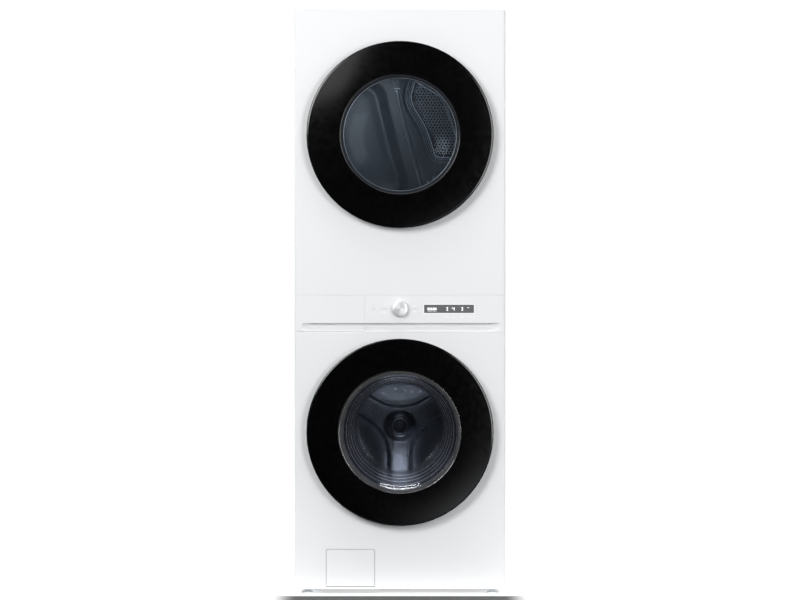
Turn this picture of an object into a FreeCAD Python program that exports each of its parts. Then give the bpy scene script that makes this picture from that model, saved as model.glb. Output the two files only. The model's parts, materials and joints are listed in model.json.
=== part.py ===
import FreeCAD, Part
import math
import os

Vector = FreeCAD.Vector

# Washer dryer stack: a front-loading washer below and a vented dryer above, in one cabinet.
# Millimetres. X to the right, Y to the back, Z up. The front faces -Y.
# The origin is on the floor, in the middle of the whole object's width and depth.

# Outside size
width = 686.0
depth = 810.0
height = 1890.0
foot_height = 13.0
base_top = 62.0

# Cabinet
sheet = 1.0
roll_r = 6.0
door_proud = 42.0
stub_proud = 25.0
front_y = -depth / 2 + door_proud
back_y = depth / 2 - stub_proud
tray_depth = 4.7
tray_sheet = 1.2
flange_y = front_y + 5.0
inside_x = width / 2 - sheet
panel_half = width / 2 - 6.5
seam = 1.2
moulding_back_y = front_y + 28.0

# Heights of the front
washer_panel_bottom = 16.0
washer_panel_top = 845.0
control_bottom = 847.0
drawer_bottom = 850.0
control_top = 965.7
deck_z = 966.0
deck_sheet = 2.0
groove_top = 877.0
groove_lip = 848.5
drawer_edge_x = -115.0

# Doors
washer_z = 524.3
dryer_z = 1485.3
door_r = 302.0
door_frame_r = 300.0
washer_window_r = 197.0
dryer_window_r = 192.0
frame_bore_r = 200.0
glass_back_y = -depth / 2 + 5.0
door_back_y = front_y - 4.0
opening_r = 205.0
hinge_x = -292.0
hinge_y = -386.0
pin_r = 4.0
pin_clearance = 0.05
ear_half = 6.0
hook_x = 263.0

# Washer tub and drum, turned about the axis at washer_z
drum_r = 290.0
drum_front_y = -205.0
drum_back_y = 250.0
drum_mouth_r = 212.0
tub_r = 305.0
tub_wall = 4.0
tub_front_y = -235.0
tub_back_y = 275.0
tub_split_y = 20.0
hub_back_y = 330.0
shaft_r = 12.5

# Dryer drum, turned about the axis at dryer_z
dryer_drum_r = 325.0
dryer_drum_front_y = -290.0
dryer_drum_back_y = 330.0
bulkhead_y = -312.0
rear_wall_y = 334.0
grille_y = 331.0
grille_thick = 2.9
running_gap = 0.4
roller_r = 35.0
roller_x = 150.0
roller_axle_r = 8.0
roller_front_y = 290.0
roller_back_y = 314.0

# Dryer drive, blower and exhaust
motor_x = 180.0
motor_z = 1058.0
motor_r = 70.0
motor_front_y = 20.0
motor_back_y = 180.0
motor_shaft_r = 6.0
pulley_r = 12.0
idler_x = 90.0
idler_z = 1075.0
idler_r = 25.0
idler_axle_r = 5.0
belt_front_y = -20.0
belt_back_y = -12.0
belt_thick = 2.0
blower_r = 70.0
blower_front_y = -230.0
blower_back_y = -132.0
exhaust_r = 50.8
exhaust_z = 1035.0

# Power cord gland and its cover on the rear panel
gland_r = 7.5
gland_x = -260.0
gland_y = 8.6
cover_box_half = 45.0
cover_box_deep = 20.0
cover_box_low = 1150.0
cover_box_high = 1250.0

# Water inlets and drain spigot, through the rear panel
inlet_r = 13.2
inlet_bore_r = 8.0
inlet_xs = (225.0, 270.0)
inlet_z = 900.0
spigot_r = 11.0
spigot_bore_r = 8.5
spigot_x = 120.0
spigot_z = 880.0
stub_gap = 1.2

# Levelling feet
foot_x = 300.0
foot_front_y = -318.0
foot_rear_y = 335.0
foot_pad_r = 20.0
foot_stud_r = 5.0

# Tub suspension, in one upright plane
hanger_y = 60.0
spring_x = 230.0
damper_x = 170.0
lug_half_wide = 9.0
lug_half_deep = 8.0
coil_r = 11.0
wire_r = 1.6

# Dispenser outlet, pump and hoses
dispenser_x = -228.0
dispenser_y = -100.0
dispenser_r = 16.0
barrel_r = 39.0
barrel_bore_r = 35.0
barrel_front_y = -328.0
barrel_back_y = -200.0
pump_motor_r = 32.0
pump_motor_back_y = -140.0
sump_y = -240.0
sump_stub_r = 18.0
sump_stub_high = 48.0

# Lint chute and blower scroll
chute_half = 120.0
chute_front_y = -344.0
chute_back_y = -316.0
chute_low = 1000.0
chute_high = 1268.0
chute_sheet = 2.0
box_right = 262.0
box_low = 985.0
box_high = 1130.0
scroll_r = 82.0
scroll_left = -57.0
scroll_top = 1092.0
blower_mouth_r = 55.0

# Selector, display, drawer and drain filter
knob_z = 924.0
knob_r = 26.0
knob_shaft_r = 4.0
display_x0 = 77.7
display_x1 = 239.5
display_z0 = 909.3
display_z1 = 936.2
tray_x0 = -311.0
tray_x1 = -130.0
tray_z0 = 860.0
tray_z1 = 948.0
tray_back_y = -60.0
tray_wall = 2.5
tray_split_x = -232.0
tray_split_y = -205.0
cover_x0 = -238.2
cover_x1 = -82.5
cover_z0 = 24.6
cover_z1 = 144.1
cover_gap = 1.2
cover_thick = 2.5
cover_pivot_y = front_y + 3.0
cover_pivot_z = 27.0
cover_pin_r = 1.5
cover_pin_past = 4.0
pump_x = -160.0
pump_z = 88.0

parts = {}


def block(x0, x1, y0, y1, z0, z1):
    return Part.makeBox(x1 - x0, y1 - y0, z1 - z0, Vector(x0, y0, z0))


def rod(r, y0, y1, x, z):
    return Part.makeCylinder(r, y1 - y0, Vector(x, y0, z), Vector(0, 1, 0))


def post(r, z0, z1, x, y):
    return Part.makeCylinder(r, z1 - z0, Vector(x, y, z0), Vector(0, 0, 1))


def tube(inner_r, outer_r, y0, y1, x, z):
    return rod(outer_r, y0, y1, x, z).cut(rod(inner_r, y0 - 1, y1 + 1, x, z))


def upright_tube(inner_r, outer_r, z0, z1, x, y):
    return post(outer_r, z0, z1, x, y).cut(post(inner_r, z0 - 1, z1 + 1, x, y))


def turned(profile, x, z):
    """A solid turned about the Y axis through (x, z); profile is a closed list of (radius, y)."""
    corners = [Vector(x + r, y, z) for r, y in profile]
    face = Part.Face(Part.makePolygon(corners + corners[:1]))
    return face.revolve(Vector(x, 0, z), Vector(0, 1, 0), 360)


def plate(outline, y0, y1):
    """A flat plate between y0 and y1; outline is a list of (x, z) corners."""
    corners = [Vector(x, y0, z) for x, z in outline]
    return Part.Face(Part.makePolygon(corners + corners[:1])).extrude(Vector(0, y1 - y0, 0))


def beam(section, x0, x1):
    """A straight bar along X; section is a list of (y, z) corners."""
    corners = [Vector(x0, y, z) for y, z in section]
    return Part.Face(Part.makePolygon(corners + corners[:1])).extrude(Vector(x1 - x0, 0, 0))


def fuse(shapes):
    return shapes[0].multiFuse(shapes[1:]).removeSplitter()


def around(shape, x, z, count, start=0.0):
    """Copies of a shape, evenly spaced about the Y axis through (x, z)."""
    copies = []
    for i in range(count):
        turned_copy = shape.copy()
        turned_copy.rotate(Vector(x, 0, z), Vector(0, 1, 0), start + 360.0 * i / count)
        copies.append(turned_copy)
    return copies


def mirrored(shape):
    return shape.mirror(Vector(0, 0, 0), Vector(1, 0, 0))


# Cabinet

def side_panel():
    """Right-hand side panel: one sheet with a rolled front edge and an inward flange."""
    x = width / 2
    roll = roll_r
    flange_in = 22.0
    top = height - sheet
    outer = [
        Part.makeLine(Vector(x, back_y, foot_height), Vector(x, flange_y + roll, foot_height)),
        Part.Arc(
            Vector(x, flange_y + roll, foot_height),
            Vector(x - roll + roll * math.cos(math.pi / 4), flange_y + roll - roll * math.sin(math.pi / 4),
                   foot_height),
            Vector(x - roll, flange_y, foot_height),
        ).toShape(),
        Part.makeLine(Vector(x - roll, flange_y, foot_height), Vector(x - roll - flange_in, flange_y, foot_height)),
        Part.makeLine(
            Vector(x - roll - flange_in, flange_y, foot_height),
            Vector(x - roll - flange_in, flange_y + sheet, foot_height),
        ),
        Part.makeLine(
            Vector(x - roll - flange_in, flange_y + sheet, foot_height),
            Vector(x - roll, flange_y + sheet, foot_height),
        ),
        Part.Arc(
            Vector(x - roll, flange_y + sheet, foot_height),
            Vector(x - roll + (roll - sheet) * math.cos(math.pi / 4),
                   flange_y + roll - (roll - sheet) * math.sin(math.pi / 4), foot_height),
            Vector(x - sheet, flange_y + roll, foot_height),
        ).toShape(),
        Part.makeLine(Vector(x - sheet, flange_y + roll, foot_height), Vector(x - sheet, back_y, foot_height)),
        Part.makeLine(Vector(x - sheet, back_y, foot_height), Vector(x, back_y, foot_height)),
    ]
    return Part.Face(Part.Wire(outer)).extrude(Vector(0, 0, top - foot_height))


def top_panel():
    lid = block(-width / 2, width / 2, front_y + 0.5, back_y, height - sheet, height)
    skirt_x = inside_x - 0.2
    skirt_front = flange_y + roll_r + 1
    skirt = block(-skirt_x, skirt_x, skirt_front, back_y - 1.2, height - 16, height - sheet)
    hollow = block(-skirt_x + sheet, skirt_x - sheet, skirt_front + sheet, back_y - 1.2 - sheet,
                   height - 17, height - sheet)
    return fuse([lid, skirt.cut(hollow)])


def rear_panel():
    panel = block(-inside_x, inside_x, back_y - sheet, back_y, 30, height - 17)
    stubs = [(0, exhaust_z, exhaust_r), (spigot_x, spigot_z, spigot_r)] + [(x, inlet_z, inlet_r) for x in inlet_xs]
    for x, z, r in stubs:
        panel = panel.cut(rod(r + stub_gap, back_y - 5, back_y + 5, x, z))
    louvre_half = 55.0
    louvre_high = 8.0
    louvre_pitch = 22.0
    louvres = []
    for column in (-200, 0, 200):
        for row in range(7):
            z = 1520 + louvre_pitch * row
            louvres.append(block(column - louvre_half, column + louvre_half, back_y - 5, back_y + 5,
                                 z, z + louvre_high))
    return panel.cut(Part.makeCompound(louvres))


def base_frame():
    """Welded base: a pan with a turned-up rim and a cross member that carries the dampers."""
    x = inside_x - 0.2
    y0 = flange_y + roll_r + 1
    y1 = back_y - 1.4
    wall = 2.0
    rim = 70.0
    cross_half = 20.0
    cross_wall = 3.0
    above = base_top + 18
    pan = block(-x, x, y0, y1, foot_height, base_top)
    pan = pan.cut(block(-x + wall, x - wall, y0 + wall, y1 - wall, foot_height + wall, above))
    pan = pan.cut(block(-x + rim, x - rim, y0 + rim, y1 - rim, 0, above))
    pan = pan.cut(block(cover_x0 - 12, cover_x1 + 12, y0 - 10, y0 + rim + 5, 5, above))
    for foot_at_x, foot_at_y in foot_places():
        pan = pan.cut(post(foot_stud_r, 5, 30, foot_at_x, foot_at_y))
    cross = block(-x + wall, x - wall, hanger_y - cross_half, hanger_y + cross_half, foot_height + wall, base_top)
    cross = cross.cut(block(-x, x, hanger_y - cross_half + cross_wall, hanger_y + cross_half - cross_wall,
                            foot_height, base_top - cross_wall))
    return fuse([pan, cross])


def foot_places():
    return [(x, y) for y in (foot_front_y, foot_rear_y) for x in (-foot_x, foot_x)]


def levelling_foot(x, y):
    pad_high = 5.0
    cone_high = 3.0
    nut_r = 10.0
    nut_high = 4.5
    stud_high = 46.0
    nut_z = pad_high + cone_high
    pad = post(foot_pad_r, 0, pad_high, x, y)
    cone = Part.makeCone(foot_pad_r, foot_pad_r * 0.6, cone_high, Vector(x, y, pad_high), Vector(0, 0, 1))
    sixths = [math.radians(60 * i) for i in range(6)]
    nut_points = [Vector(x + nut_r * math.cos(turn), y + nut_r * math.sin(turn), nut_z) for turn in sixths]
    nut = Part.Face(Part.makePolygon(nut_points + nut_points[:1])).extrude(Vector(0, 0, nut_high))
    stud = post(foot_stud_r, 0, stud_high, x, y)
    return fuse([pad, cone, nut, stud])


def deck_plate():
    """The floor of the dryer section, with the motor's cradle and the idler's bracket welded on."""
    top = deck_z + deck_sheet
    deck = block(-inside_x + 0.2, inside_x - 0.2, flange_y + roll_r + 1, back_y - 1.2, deck_z, top)
    cradle = block(motor_x - 60, motor_x + 60, motor_front_y + 30, motor_back_y - 30, top, motor_z - motor_r / 2)
    cradle = cradle.cut(rod(motor_r, motor_front_y + 20, motor_back_y - 20, motor_x, motor_z))
    arm_y = belt_front_y - 12
    arm = block(idler_x - 12, idler_x + 12, arm_y - 4, arm_y, top, idler_z + 12)
    axle = rod(idler_axle_r, arm_y, belt_back_y + 6, idler_x, idler_z)
    return fuse([deck, cradle, arm, axle])


def front_tray(z0, z1, hole_z, flange_back_y):
    """A painted front panel: a shallow sheet tray with a rolled hole for the door."""
    tray = block(-panel_half, panel_half, front_y, front_y + tray_depth, z0, z1)
    tray = tray.makeFillet(1.1, [e for e in tray.Edges if e.BoundBox.YMax < front_y + 0.01])
    inner = block(-panel_half + tray_sheet, panel_half - tray_sheet, front_y + tray_sheet,
                  front_y + tray_depth + 1, z0 + tray_sheet, z1 - tray_sheet)
    tray = tray.cut(inner)
    ring = rod(opening_r + tray_sheet, front_y, flange_back_y, 0, hole_z)
    tray = fuse([tray, ring])
    tray = tray.cut(rod(opening_r, front_y - 1, flange_back_y + 1, 0, hole_z))
    slot = block(hook_x - 9, hook_x + 16, front_y - 1, front_y + 3, hole_z - 13, hole_z + 13)
    return tray.cut(slot)


def washer_front_panel():
    panel = front_tray(washer_panel_bottom, washer_panel_top, washer_z, front_y + 14)
    hole = block(cover_x0 - cover_gap, cover_x1 + cover_gap, front_y - 1, front_y + 3,
                 cover_z0 - cover_gap - 0.5, cover_z1 + cover_gap)
    return panel.cut(rounded_below_and_above(hole, 2.5, 7.0))


def rounded_below_and_above(shape, low_r, high_r):
    """Rounds the four corners of an upright plate, the lower two by low_r and the upper two by high_r."""
    middle_z = (shape.BoundBox.ZMin + shape.BoundBox.ZMax) / 2
    corners = [e for e in shape.Edges if e.BoundBox.XLength < 0.01 and e.BoundBox.ZLength < 0.01]
    shape = shape.makeFillet(high_r, [e for e in corners if e.BoundBox.ZMin > middle_z])
    corners = [e for e in shape.Edges if e.BoundBox.XLength < 0.01 and e.BoundBox.ZLength < 0.01]
    return shape.makeFillet(low_r, [e for e in corners if e.BoundBox.ZMax < middle_z - 40])


def dryer_front_panel():
    return front_tray(control_top + seam, height - sheet - 0.4, dryer_z, front_y + 18)


def groove_section(x, share):
    """The finger groove's outline at x; share is how deep it is there."""
    skin_y = front_y - 0.3
    points = [
        (front_y - 2, groove_top),
        (skin_y + 18 * share, groove_top),
        (skin_y + 18 * share, groove_top - 10),
        (skin_y, groove_lip),
        (front_y - 2, groove_lip),
    ]
    corners = [Vector(x, y, z) for y, z in points]
    return Part.makePolygon(corners + corners[:1])


def groove():
    """The finger groove along the bottom of the control panel and the drawer front, tapering out at its ends."""
    sections = [
        groove_section(-318, 0.03),
        groove_section(-291, 1.0),
        groove_section(288, 1.0),
        groove_section(322, 0.03),
    ]
    return Part.makeLoft(sections, True, True)


def front_moulding(x0, x1, z0, z1):
    """A plastic front moulding, hollowed from behind above the groove."""
    body = block(x0, x1, front_y, moulding_back_y, z0, z1)
    body = body.makeFillet(1.0, [e for e in body.Edges if e.BoundBox.YMax < front_y + 0.01])
    body = body.cut(block(x0 + 3, x1 - 3, front_y + 3, moulding_back_y + 1, groove_top + 4, z1 - 3))
    for low, high in ((-width, -panel_half + 23), (panel_half - 23, width)):
        body = body.cut(block(low, high, flange_y - 0.3, moulding_back_y + 1, z0 - 1, z1 + 1))
    return body.cut(groove())


def control_panel():
    panel = front_moulding(drawer_edge_x + seam / 2, panel_half, control_bottom, control_top)
    panel = panel.cut(block(display_x0, display_x1, front_y - 1, front_y + 4, display_z0, display_z1))
    return panel.cut(rod(knob_shaft_r + pin_clearance, front_y - 1, front_y + 5, 0, knob_z))


def display_lens():
    return block(display_x0 + 0.1, display_x1 - 0.1, front_y - 0.3, front_y + 2.5,
                 display_z0 + 0.1, display_z1 - 0.1)


def control_board():
    """Circuit board with the display module and the selector's encoder."""
    board = block(-70, 260, front_y + 14, front_y + 15.6, 890, 955)
    module = block(display_x0 + 4, display_x1 - 4, front_y + 4.5, front_y + 14, display_z0 + 2, display_z1 - 2)
    encoder = block(-8, 8, front_y + 6, front_y + 14, knob_z - 8, knob_z + 8)
    encoder = encoder.cut(rod(knob_shaft_r + pin_clearance, front_y, front_y + 13, 0, knob_z))
    return fuse([board, module, encoder])


def drawer_housing():
    """The fixed housing that the detergent drawer slides into, with its outlet stub below."""
    x0 = tray_x0 - 8
    x1 = tray_x1 + 8
    z0 = tray_z0 - 8
    z1 = tray_z1 + 8
    y0 = moulding_back_y + 1
    y1 = tray_back_y + 18
    shell = block(x0, x1, y0, y1, z0, z1).cut(block(x0 + 3, x1 - 3, y0 - 1, y1 - 3, z0 + 3, z1 - 3))
    stub = post(dispenser_r, z0 - 10, z0 + 1, dispenser_x, dispenser_y)
    shell = fuse([shell, stub])
    return shell.cut(post(dispenser_r - 3, z0 - 11, z0 + 4, dispenser_x, dispenser_y))


def water_inlets():
    """Hot and cold inlet valves, with their threaded stubs through the rear panel."""
    body = block(inlet_xs[0] - 20, inlet_xs[1] + 20, back_y - 60, back_y - sheet, inlet_z - 20, inlet_z + 20)
    stubs = [rod(inlet_r, back_y - sheet, back_y + stub_proud, x, inlet_z) for x in inlet_xs]
    bores = [rod(inlet_bore_r, back_y - 20, back_y + stub_proud + 1, x, inlet_z) for x in inlet_xs]
    return fuse([body] + stubs).cut(Part.makeCompound(bores))


def drain_outlet():
    """Drain elbow inside the rear panel, with its spigot outside."""
    half = 15.0
    elbow = block(spigot_x - half, spigot_x + half, back_y - 40, back_y - sheet, spigot_z - half, spigot_z + half)
    spigot = rod(spigot_r, back_y - sheet, back_y + stub_proud, spigot_x, spigot_z)
    bore = rod(spigot_bore_r, back_y - 30, back_y + stub_proud + 1, spigot_x, spigot_z)
    return fuse([elbow, spigot]).cut(bore)


def terminal_cover():
    """Cover over the mains terminals, with the power cord's gland opening downwards."""
    wall = 3.0
    floor = 12.0
    x0 = gland_x - cover_box_half
    x1 = gland_x + cover_box_half
    z0 = cover_box_low
    z1 = cover_box_high
    y1 = back_y + cover_box_deep
    cover = block(x0, x1, back_y, y1, z0, z1)
    cover = cover.makeFillet(4, [e for e in cover.Edges if e.BoundBox.YMin > y1 - 0.01])
    cover = cover.cut(block(x0 + wall, x1 - wall, back_y - 1, y1 - wall, z0 + floor, z1 - wall))
    return cover.cut(post(gland_r, z0 - 1, z0 + floor + 1, gland_x, back_y + gland_y))


def cabinet_screws():
    """Two columns of screws that hold the rear panel."""
    head_r = 5.0
    head_high = 3.0
    recess_r = 2.0
    column_x = width / 2 - 18
    heads = []
    for z in (60, 330, 600, 860, 1130, 1400, 1680, 1850):
        for x in (-column_x, column_x):
            recess = rod(recess_r, back_y + 1.2, back_y + 4, x, z)
            heads.append(rod(head_r, back_y, back_y + head_high, x, z).cut(recess))
    return Part.makeCompound(heads)


def filter_recess():
    """The recess behind the drain cover, round the pump's filter."""
    x0 = cover_x0 - 5
    x1 = cover_x1 + 5
    z0 = 18.0
    z1 = cover_z1 + 8
    y0 = front_y + tray_depth + 0.3
    y1 = y0 + 62
    recess = block(x0, x1, y0, y1, z0, z1).cut(block(x0 + 2, x1 - 2, y0 - 1, y1 - 2, z0 + 2, z1 - 2))
    lug_y = front_y + tray_sheet + 0.2
    lugs = [block(x, x + 2.6, lug_y, y0 + 1, cover_pivot_z - 4, cover_pivot_z + 4) for x in (x0, x1 - 2.6)]
    return fuse([recess] + lugs).cut(cover_pin(cover_pin_r + pin_clearance, cover_pin_past + 10))


def drain_pump():
    """Pump moulding: the recess, the filter barrel open at the front, and the inlet stub on top."""
    stub_top = pump_z + sump_stub_high
    barrel = rod(barrel_r, barrel_front_y, barrel_back_y, pump_x, pump_z)
    motor = rod(pump_motor_r, barrel_back_y, pump_motor_back_y, pump_x, pump_z)
    inlet = post(sump_stub_r, pump_z, stub_top, pump_x, sump_y)
    pump = fuse([filter_recess(), barrel, motor, inlet])
    pump = pump.cut(rod(barrel_bore_r, barrel_front_y - 2, barrel_back_y - 5, pump_x, pump_z))
    return pump.cut(post(sump_stub_r - 4, pump_z, stub_top + 1, pump_x, sump_y))


def pump_filter_cap():
    """Filter plug: a round cap with a finger bar, and the strainer behind it."""
    cap_back = barrel_front_y - 0.4
    cap_front = cap_back - 5.6
    neck_back = barrel_front_y + 16
    strainer_back = barrel_back_y - 15
    cap = rod(barrel_r - 1, cap_front, cap_back, pump_x, pump_z)
    bar = block(pump_x - 28, pump_x + 28, cap_front - 12, cap_front, pump_z - 4, pump_z + 4)
    neck = rod(barrel_bore_r - 0.5, cap_back, neck_back, pump_x, pump_z)
    strainer = tube(22, 25, neck_back, strainer_back, pump_x, pump_z)
    window = block(pump_x - 5, pump_x + 5, neck_back + 12, strainer_back - 10, pump_z, pump_z + 40)
    windows = around(window, pump_x, pump_z, 6)
    strainer = strainer.cut(Part.makeCompound(windows))
    return fuse([cap, bar, neck, strainer])


def drain_cover():
    """The flap over the filter recess, hinged on the pin along its bottom edge."""
    flap = block(cover_x0, cover_x1, front_y, front_y + cover_thick, cover_z0, cover_z1)
    flap = rounded_below_and_above(flap, 2.0, 6.5)
    return fuse([flap, cover_pin(cover_pin_r, cover_pin_past)])


def cover_pin(r, past):
    """A round bar along the flap's hinge line, reaching past its ends by past."""
    length = cover_x1 - cover_x0 + 2 * past
    return Part.makeCylinder(r, length, Vector(cover_x0 - past, cover_pivot_y, cover_pivot_z), Vector(1, 0, 0))


# Doors

def hinge_bracket(z):
    """Plate on the front panel with two ears that carry the hinge pin."""
    base = block(-302, -262, front_y - 1.5, front_y, z - 42, z + 42)
    pieces = [base]
    for low in (-26, 16):
        ear = block(hinge_x - ear_half, hinge_x + ear_half, hinge_y, front_y - 1.5, z + low, z + low + 10)
        nose = post(7.4, z + low, z + low + 10, hinge_x, hinge_y)
        pieces += [ear, nose]
    bracket = fuse(pieces)
    return bracket.cut(post(pin_r, z - 50, z + 50, hinge_x, hinge_y))


def hinge_pin(z):
    return post(pin_r, z - 38, z + 38, hinge_x, hinge_y)


def door_lock(z):
    """Lock box behind the front panel that takes the door's hook."""
    box = block(hook_x - 14, hook_x + 22, front_y + tray_depth + 0.3, front_y + 28, z - 20, z + 20)
    return box.cut(block(hook_x - 11, hook_x + 19, front_y, front_y + 25, z - 15, z + 15))


def door_hook(z):
    section = [(door_back_y, z - 8), (front_y + 20, z - 8), (front_y + 20, z + 10), (front_y + 12, z + 10),
               (front_y + 12, z + 2), (door_back_y, z + 2)]
    return beam(section, hook_x, hook_x + 6)


def door_ring(z, inner_r):
    """The door's black glass face: a slightly crowned ring with rounded rims."""
    face_y = -depth / 2
    middle_r = (inner_r + door_r) / 2

    def point(r, y):
        return Vector(r, y, z)

    edges = [
        Part.Arc(point(inner_r, glass_back_y - 2), point(inner_r + 1.0, glass_back_y - 3.4),
                 point(inner_r + 3, glass_back_y - 4)).toShape(),
        Part.Arc(point(inner_r + 3, glass_back_y - 4), point(middle_r, face_y),
                 point(door_r - 3, glass_back_y - 4)).toShape(),
        Part.Arc(point(door_r - 3, glass_back_y - 4), point(door_r - 0.8, glass_back_y - 3.2),
                 point(door_r, glass_back_y - 1.5)).toShape(),
        Part.makeLine(point(door_r, glass_back_y - 1.5), point(door_r, glass_back_y + 2)),
        Part.makeLine(point(door_r, glass_back_y + 2), point(door_frame_r + 0.3, glass_back_y + 2)),
        Part.makeLine(point(door_frame_r + 0.3, glass_back_y + 2), point(door_frame_r + 0.3, glass_back_y)),
        Part.makeLine(point(door_frame_r + 0.3, glass_back_y), point(inner_r, glass_back_y)),
        Part.makeLine(point(inner_r, glass_back_y), point(inner_r, glass_back_y - 2)),
    ]
    return Part.Face(Part.Wire(edges)).revolve(Vector(0, 0, z), Vector(0, 1, 0), 360)


def door_frame(z, inner_r):
    """The moulded ring behind the glass, a channel open to the front, with a pocket for the hinge ears."""
    front = glass_back_y
    back = door_back_y
    wall = 3.0
    body = turned([(inner_r, front), (door_frame_r, front), (door_frame_r, back - 4), (door_frame_r - 4, back),
                   (inner_r + 3, back), (inner_r, back - 3)], 0, z)
    channel = tube(inner_r + wall, door_frame_r - wall, front - 1, back - wall, 0, z)
    hinge_zone = block(-310, -262, front - 2, back + 1, z - 42, z + 42)
    lock_zone = block(hook_x - 8, hook_x + 14, front - 2, back + 1, z - 16, z + 16)
    body = body.cut(channel.cut(hinge_zone).cut(lock_zone))
    pocket = block(-310, -270, front - 1, back + 1, z - 30, z + 30)
    bore = post(pin_r + pin_clearance, z - 38.5, z + 38.5, hinge_x, hinge_y)
    return fuse([body.cut(pocket).cut(bore), door_hook(z)])


def bowl_solid(offset, front_r, back_y_end, z):
    """The washer door bowl's outside, or its inside when offset is the glass thickness."""
    rings = [
        (front_r - offset, glass_back_y + 6 if offset == 0 else glass_back_y - 1, 0.0),
        (186 - offset, -374, 0.5),
        (156 - offset, -270, 11.0),
        (140 - offset * 1.5, back_y_end, 13.5),
    ]
    wires = []
    for r, y, rise in rings:
        circle = Part.makeCircle(r, Vector(0, y, z + rise), Vector(0, 1, 0))
        wires.append(Part.Wire([circle]))
    return Part.makeLoft(wires, True, True)


def washer_door_bowl():
    """Deep glass bowl that reaches into the gasket, with its flat flange clamped behind the black ring."""
    z = washer_z
    flange = rod(200, glass_back_y, glass_back_y + 6, 0, z)
    body = fuse([bowl_solid(0, 196, -244, z), flange])
    return body.cut(bowl_solid(5, 196, -249, z))


def dryer_door_panes():
    """Flat outer pane set in the black ring, and the dished inner pane that closes the door's back."""
    outer = rod(191.4, glass_back_y - 3, glass_back_y, 0, dryer_z)
    back = door_back_y
    profile = [(0, back + 14), (120, back + 12), (165, back + 4), (184, back - 6), (200, back - 8),
               (200, back - 11.5), (184, back - 9.5), (163, back + 0.5), (119, back + 8.5), (0, back + 10.5)]
    return Part.makeCompound([outer, turned(profile, 0, dryer_z)])


# Washer

def door_gasket():
    """Rubber bellows between the washer's front opening and the tub."""
    lip = front_y + 14
    profile = [(opening_r + tray_sheet, lip - 10), (opening_r + 6, lip - 10), (opening_r + 6, lip + 2),
               (203, lip + 8), (207, lip + 40), (195, lip + 62), (222, lip + 80), (222, tub_front_y - 17.5),
               (218, tub_front_y - 17.5), (218, lip + 84), (190, lip + 64), (190, lip + 60), (203, lip + 40),
               (199, lip + 10), (188, lip + 4), (188, lip), (opening_r + tray_sheet, lip)]
    return turned(profile, 0, washer_z)


def tub_front():
    wall = tub_wall
    profile = [(214, tub_front_y - 16), (218, tub_front_y - 16), (218, tub_front_y), (tub_r + wall, tub_front_y),
               (tub_r + wall, tub_split_y - 6), (tub_r + wall + 6, tub_split_y - 6), (tub_r + wall + 6, tub_split_y),
               (tub_r, tub_split_y), (tub_r, tub_front_y + wall), (214, tub_front_y + wall)]
    return turned(profile, 0, washer_z)


def tub_rear():
    wall = tub_wall
    profile = [(tub_r, tub_split_y), (tub_r + wall + 6, tub_split_y), (tub_r + wall + 6, tub_split_y + 6),
               (tub_r + wall, tub_split_y + 6), (tub_r + wall, tub_back_y + wall), (50, tub_back_y + wall),
               (50, hub_back_y), (30, hub_back_y), (30, tub_back_y), (tub_r, tub_back_y)]
    shell = turned(profile, 0, washer_z)
    rib = block(-2, 2, tub_back_y + wall, tub_back_y + 12, washer_z + 52, washer_z + tub_r - 6)
    shell = fuse([shell] + around(rib, 0, washer_z, 12))
    lug_z = washer_z + tub_rise(spring_x)
    for x in (-spring_x, spring_x):
        shell = fuse([shell, tub_lug(x, lug_z - 18, lug_z + 14)])
    foot_z = washer_z - tub_rise(damper_x)
    for x in (-damper_x, damper_x):
        shell = fuse([shell, tub_lug(x, foot_z - 14, foot_z + 16)])
    return shell


def tub_rise(x):
    """How far the tub's outer wall stands above or below its axis at x."""
    return math.sqrt((tub_r + tub_wall) ** 2 - x ** 2)


def tub_lug(x, z0, z1):
    """Lug on the tub wall that a spring or a damper takes hold of."""
    lug = block(x - lug_half_wide, x + lug_half_wide, hanger_y - lug_half_deep, hanger_y + lug_half_deep, z0, z1)
    return lug.cut(rod(tub_r + 2, hanger_y - 20, hanger_y + 20, 0, washer_z))


def suspension_springs():
    """Two coil springs that hang the tub from the deck plate."""
    lug_top = washer_z + tub_rise(spring_x) + 14.5
    rise_per_turn = 6.0
    springs = []
    for x in (-spring_x, spring_x):
        length = deck_z - lug_top - 2.5
        helix = Part.makeHelix(rise_per_turn, length - 8, coil_r)
        circle = Part.Wire([Part.makeCircle(wire_r, Vector(coil_r, 0, 0), Vector(0, 1, 0))])
        coil = Part.Wire(helix).makePipeShell([circle], True, False)
        coil.translate(Vector(x, hanger_y, lug_top + 4.5))
        springs.append(coil)
    return Part.makeCompound(springs)


def dampers():
    """Two friction dampers between the base and the tub."""
    top = washer_z - tub_rise(damper_x) - 14.5
    piston_r = 6.0
    can_r = 13.0
    can_foot = base_top + 4
    can_top = can_foot + 102
    legs = []
    for x in (-damper_x, damper_x):
        can = upright_tube(piston_r + 0.5, can_r, can_foot, can_top, x, hanger_y)
        floor = block(x - can_r - 1, x + can_r + 1, hanger_y - can_r - 1, hanger_y + can_r + 1, base_top, can_foot)
        legs.append(fuse([can, floor]))
        legs.append(fuse([post(piston_r, can_foot + 24, top - 10, x, hanger_y), post(10, top - 10, top, x, hanger_y)]))
    return Part.makeCompound(legs)


def counterweights():
    """Two concrete half rings on the tub's front wall."""
    ring = tube(238, 300, tub_front_y - 38, tub_front_y, 0, washer_z)
    gap = block(-400, 400, tub_front_y - 50, tub_front_y + 5, washer_z - 40, washer_z + 40)
    return ring.cut(gap)


def drum_bearings():
    rings = []
    for y0 in (tub_back_y + 8, hub_back_y - 16):
        rings.append(tube(shaft_r + pin_clearance, 30, y0, y0 + 15, 0, washer_z))
    return Part.makeCompound(rings)


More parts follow.
